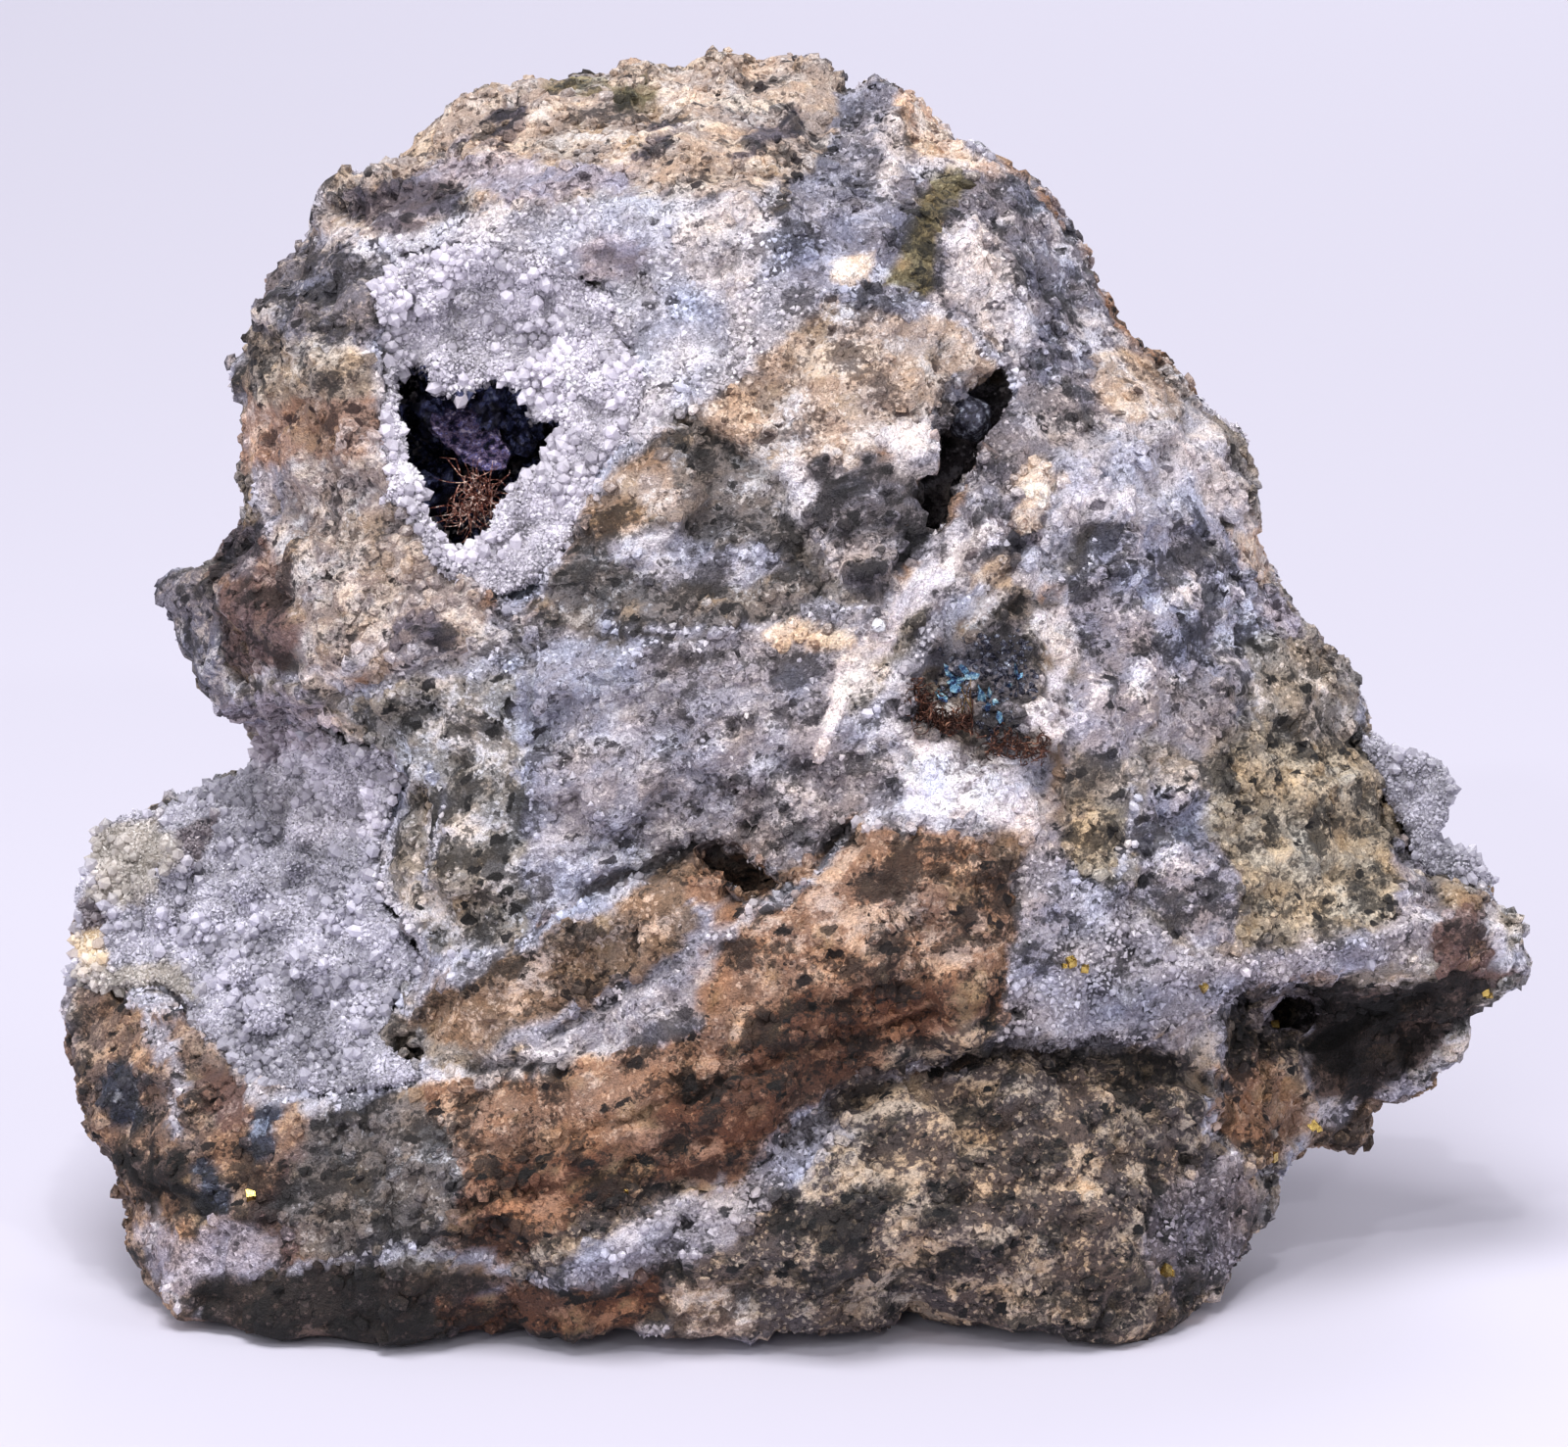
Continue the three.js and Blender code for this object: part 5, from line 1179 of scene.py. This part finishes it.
def box_of(node):
    """The middle and the half size of a CAD node, in millimetres."""
    low, high = (Vector(corner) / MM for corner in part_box(node))
    return (low + high) / 2, (high - low) / 2


def held_in(paths, node, margin):
    """The paths, kept within a margin of their CAD solid's box."""
    middle, half = box_of(node)
    for path in paths:
        for place in path:
            for n in range(3):
                reach = half[n] + margin
                place[n] = min(max(place[n], middle[n] - reach), middle[n] + reach)
    return paths


def along(line, share):
    """The drawn place at a share of the way along a line of drawn places."""
    step = share * (len(line) - 1)
    n = min(int(step), len(line) - 2)
    (au, av), (bu, bv) = line[n], line[n + 1]
    return au + (bu - au) * (step - n), av + (bv - av) * (step - n)


def silver_nest():
    """Long fine wires that fan up out of the vug's floor and curl over one another."""
    chance = random.Random(7)
    middle, _ = box_of("silver_wire_nest")
    middle += Vector(0.45 * RIGHT)
    paths = []
    for _ in range(NEST_WIRES):
        start = middle + Vector((chance.gauss(0, 0.5), chance.gauss(0, 0.4), chance.gauss(0.1, 0.6)))
        way = Vector((chance.gauss(0, 0.7), chance.gauss(-0.5, 0.5), chance.gauss(-0.2, 0.9)))
        paths.append(curling(chance, start, way, chance.uniform(1.0, 3.0), chance.uniform(0.2, 1.8)))
    paths = held_in(paths, "silver_wire_nest", 0.7)
    return wires("silver_nest", "silver_wire_nest", paths, FINE_WIRE, SILVER)


def silver_mat(name, node, line, low, high, count, seed):
    """Short curls of wire matted along a drawn line, between two depths."""
    chance = random.Random(seed)
    paths = []
    for _ in range(count):
        u, v = along(line, chance.random())
        start = seen(u + chance.gauss(0, 7), v + chance.gauss(0, 6), chance.uniform(low, high))
        way = Vector((chance.gauss(0, 1), chance.gauss(-0.3, 0.6), chance.gauss(0, 0.8)))
        paths.append(curling(chance, start, way, chance.uniform(0.5, 1.5), chance.uniform(2.0, 6.0)))
    return wires(name, node, held_in(paths, node, 0.5), MAT_WIRE, DARK_SILVER)


def silver_straws():
    """The few straight wires that stand in front of the flakes."""
    chance = random.Random(14)
    paths = []
    for u, v in ((984, 684), (990, 690), (981, 700)):
        foot = Vector(seen(988 + chance.gauss(0, 3), 728, 11.4))
        length = 2.2 * chance.uniform(0.8, 1.1)
        paths.append(curling(chance, foot, Vector(seen(u, v, 12.6)) - foot, length, 0.15))
    return wires("silver_straws", None, paths, FINE_WIRE, STRAW_SILVER)


silver_nest()
silver_mat("silver_mat", "silver_wire_mat", MAT_LINE, low=10.2, high=12.2, count=300, seed=11)
silver_mat("silver_tuft", "silver_wire_tuft", TUFT_LINE, low=11.2, high=12.5, count=120, seed=12)
silver_straws()


# Acanthite

PURPLE = metal_material("iridescent_acanthite", [
    (0.38, (0.05, 0.05, 0.10)), (0.62, (0.80, 0.74, 0.80)), (0.44, (0.18, 0.17, 0.32)),
    (0.49, (0.36, 0.30, 0.42)), (0.54, (0.52, 0.45, 0.53)), (0.58, (0.24, 0.30, 0.62))],
    roughness=0.25, scale=2.0, bump=0.16, metallic=0.7)
# The grey stops stand for the knob's metallic lustre and are made light, as painted sheen, so that it shows
# in the shade of its slot
BLACK = metal_material("black_acanthite", [
    (0.32, (0.06, 0.06, 0.08)), (0.68, (0.66, 0.68, 0.74)), (0.52, (0.22, 0.22, 0.28))],
    roughness=0.16, scale=2.6, bump=0.06, metallic=0.5)
TEAL = metal_material("teal_acanthite", [
    (0.34, (0.08, 0.09, 0.18)), (0.66, (0.80, 0.90, 0.90)), (0.45, (0.20, 0.28, 0.44)),
    (0.54, (0.42, 0.60, 0.70))], roughness=0.25, scale=2.4, metallic=0.7)
BLUE = metal_material("blue_acanthite", [
    (0.36, (0.05, 0.05, 0.07)), (0.72, (0.46, 0.48, 0.56)), (0.48, (0.12, 0.12, 0.20)),
    (0.58, (0.20, 0.22, 0.36))], roughness=0.24, scale=1.4, bump=0.08, metallic=0.6)

# Across and down in the photograph's pixels: the flakes with their length, the field of black grains
# around them, and the lumps at the back of the vug with their depth w and radius, in millimetres
FLAKES = [(969, 686, 0.9), (976, 694, 0.8), (984, 684, 0.6), (992, 690, 0.6), (1002, 712, 0.8),
          (1010, 708, 0.5), (962, 712, 0.5), (1036, 684, 0.7), (1041, 690, 0.4), (1020, 732, 0.5),
          (998, 702, 0.4), (1016, 718, 0.4), (975, 703, 0.5), (1030, 700, 0.3), (1008, 722, 0.4),
          (957, 706, 0.4)]
FLAKE_THICKNESS = 0.05
FLAKE_FIELD = [(945, 668), (1000, 652), (1046, 644), (1056, 700), (1046, 748), (1002, 752), (985, 722),
               (952, 704)]
SMALL_LUMP = 0.9
MASSES = [(508, 416, 0.6, 1.3), (530, 432, 0.2, 1.2), (486, 404, 0.0, 1.1), (452, 420, -0.6, 1.3),
          (446, 500, -2.2, 1.3)]


def dressed_small(node, name, lift, seed, material):
    """A small CAD solid with a finer, lumpy skin."""
    piece = skin_over(node, name, SMALL_GRID)
    mesh = piece.data
    before = places_of(mesh)
    near, _, _, chance = cells(before, SMALL_LUMP, seed)
    rise = (1 - near / SMALL_LUMP) * (0.5 + chance[:, 0]) - 0.5 + 0.3 * lumps(before, SMALL_LUMP / 2, seed)
    move(mesh, before + facing_of(mesh) * lift * rise[:, None])
    mesh.materials.append(material)
    return worn(piece, node)


def sulphide_flakes():
    """Thin bright flakes of acanthite that stand this way and that on the rock."""
    chance = random.Random(31)
    shape = bmesh.new()
    for u, v, long_side in FLAKES:
        spot = on_rock(u, v) / MM + Vector(TOWARDS * 0.25)
        wide = long_side * chance.uniform(0.5, 0.9)
        size = Matrix.Diagonal((1.25 * long_side, wide, FLAKE_THICKNESS, 1))
        facing = Vector(TOWARDS).to_track_quat("Z", "Y").to_matrix().to_4x4()
        tip = Matrix.Rotation(chance.gauss(0, 0.6), 4, "X") @ Matrix.Rotation(chance.gauss(0, 0.6), 4, "Y")
        spin = Matrix.Rotation(chance.uniform(0, 3.1), 4, "Z")
        made = bmesh.ops.create_circle(shape, cap_ends=True, segments=chance.choice((4, 5, 6)), radius=0.6)
        bmesh.ops.transform(shape, matrix=Matrix.Translation(spot) @ facing @ tip @ spin @ size,
                            verts=made["verts"])
    bmesh.ops.solidify(shape, geom=list(shape.faces), thickness=FLAKE_THICKNESS)
    bmesh.ops.scale(shape, vec=(MM, MM, MM), verts=shape.verts)
    mesh = joined(shape, "sulphide_flakes")
    mesh.materials.append(TEAL)
    return worn(linked("sulphide_flakes", mesh), "acanthite_blades")


def sulphide_masses():
    """The dark lumps of acanthite at the back of the silver vug, beside the plate."""
    shape = bmesh.new()
    for u, v, w, radius in MASSES:
        made = bmesh.ops.create_icosphere(shape, subdivisions=4, radius=radius)
        bmesh.ops.translate(shape, vec=seen(u, v, w), verts=made["verts"])
    bmesh.ops.scale(shape, vec=(MM, MM, MM), verts=shape.verts)
    mesh = joined(shape, "sulphide_masses")
    before = places_of(mesh)
    rise = broken(before, 1.3, 0.8, 220) + broken(before, 0.6, 0.7, 223) + 0.2 * rough(before, 0.7, 225, 2)
    move(mesh, before + facing_of(mesh) * rise[:, None])
    mesh.materials.append(BLUE)
    return worn(linked("sulphide_masses", mesh))


def black_grains():
    """Small black crystals around the flakes and on the walls of the silver vug."""
    grain = quartz_grain()
    mesh = rock.data
    places = places_of(mesh)
    u, v, _ = drawn(places)
    near_flakes = ramp(within(u, v, FLAKE_FIELD), -6, 8) * ramp(facing_of(mesh) @ TOWARDS, 0.1, 0.4)
    near_flakes *= ramp(rough(places, 1.2, 230), -0.6, 0.2)
    sow(mesh, near_flakes, grain, "black_grains", BLACK,
        spacing=0.2, size=0.3, spread=0.5, lean=0.9, seed=8)
    for crust, name in ((rock, "wall_grains"), (lining, "lining_grains")):
        mesh = crust.data
        u, v, w = drawn(places_of(mesh))
        level, bottom, outline = VUGS[0]
        deep = ramp(within(u, v, outline), -4, 2) * ramp(level - w, -0.2, 0.8) * ramp(w, bottom, bottom + 0.4)
        sow(mesh, deep, grain, name, BLUE,
            spacing=0.35, size=0.6, spread=0.5, lean=0.8, seed=9)
    bpy.data.objects.remove(grain)


dressed_small("acanthite_plate", "sulphide_plate", 0.28, 200, PURPLE)
dressed_small("acanthite_knob", "sulphide_knob", 0.30, 210, BLACK)
sulphide_flakes()
sulphide_masses()
black_grains()


# Brassy grains

PYRITE = metal_material("pyrite", [
    (0.3, (0.50, 0.38, 0.16)), (0.7, (0.98, 0.86, 0.50))], roughness=0.2, scale=3.0, bump=0.02)
# Across and down in the photograph's pixels, and the grain's size in millimetres
PYRITE_AT = [(1093, 982, 0.45), (1107, 988, 0.4), (1228, 1008, 0.4), (1301, 1047, 0.45), (1340, 1148, 0.5),
             (1298, 1181, 0.5), (1516, 1012, 0.4), (1189, 1297, 0.55), (256, 1220, 0.5), (1520, 1016, 0.3),
             (1195, 1300, 0.35), (474, 566, 0.3), (1346, 1152, 0.3), (1086, 986, 0.25), (640, 1216, 0.25)]


def pyrite_grains():
    chance = random.Random(21)
    shape = bmesh.new()
    for u, v, size in PYRITE_AT:
        spot = on_rock(u, v)
        if spot is None:
            continue
        turn = Matrix.Rotation(chance.uniform(0, 3), 4, "X") @ Matrix.Rotation(chance.uniform(0, 3), 4, "Z")
        made = bmesh.ops.create_cube(shape, size=size * MM)
        bmesh.ops.transform(shape, matrix=Matrix.Translation(spot) @ turn, verts=made["verts"])
    mesh = joined(shape, "pyrite_grains")
    mesh.materials.append(PYRITE)
    return worn(linked("pyrite_grains", mesh))


pyrite_grains()


# Floor, light and camera

def floor():
    paper = Shade("floor_paper")
    paper.set(Base_Color=(*srgb((0.80, 0.79, 0.845)), 1.0), Roughness=0.9)
    shape = bmesh.new()
    bmesh.ops.create_grid(shape, x_segments=1, y_segments=1, size=3.0)
    mesh = joined(shape, "floor")
    mesh.materials.append(paper.material)
    linked("floor", mesh)


def lamp(name, place, size, power, colour=(1.0, 1.0, 1.0)):
    """A square light that looks at the middle of the specimen."""
    light = bpy.data.lights.new(name, "AREA")
    light.size = size
    light.energy = power
    light.color = colour
    lit = linked(name, light)
    lit.location = place
    lit.rotation_euler = (Vector((0, 0, 0.03)) - Vector(place)).to_track_quat("-Z", "Y").to_euler()


def lights():
    lamp("softbox_above", (-0.08, -0.17, 0.58), 0.30, 3.0, (1.0, 0.985, 1.0))
    lamp("softbox_front", (-0.10, -0.60, 0.22), 0.20, 0.8, (1.0, 0.99, 1.0))
    lamp("softbox_left", (-0.50, -0.35, 0.25), 0.25, 0.75, (0.98, 0.98, 1.0))
    lamp("softbox_right", (0.50, -0.25, 0.30), 0.25, 0.65, (1.0, 0.985, 0.98))
    # Small lamps, for the sparkle on the crystals
    lamp("glint_left", (-0.25, -0.45, 0.40), 0.02, 0.42)
    lamp("glint_right", (0.20, -0.50, 0.35), 0.02, 0.38)
    lamp("glint_top", (0.02, -0.30, 0.55), 0.02, 0.40)
    lamp("softbox_behind", (0.10, 0.55, 0.35), 0.40, 1.6, (0.97, 0.97, 1.0))
    world = bpy.data.worlds.new("studio")
    world.use_nodes = True
    world.node_tree.nodes["Background"].inputs["Color"].default_value = (*srgb((0.91, 0.90, 0.95)), 1.0)
    world.node_tree.nodes["Background"].inputs["Strength"].default_value = 0.34
    bpy.context.scene.world = world


def camera():
    data = bpy.data.cameras.new("viewer")
    data.sensor_width = 36.0
    data.lens = 36.0 * VIEW_DISTANCE / (PHOTO_SIZE[0] * PIXEL)
    data.clip_start = 0.05
    eye = linked("viewer", data)
    eye.location = Vector(seen(*CENTRE, VIEW_DISTANCE)) * MM
    eye.rotation_euler = (math.pi / 2 - VIEW_TILT, 0.0, 0.0)
    bpy.context.scene.camera = eye


floor()
lights()
camera()
bpy.context.scene.view_settings.view_transform = "Standard"
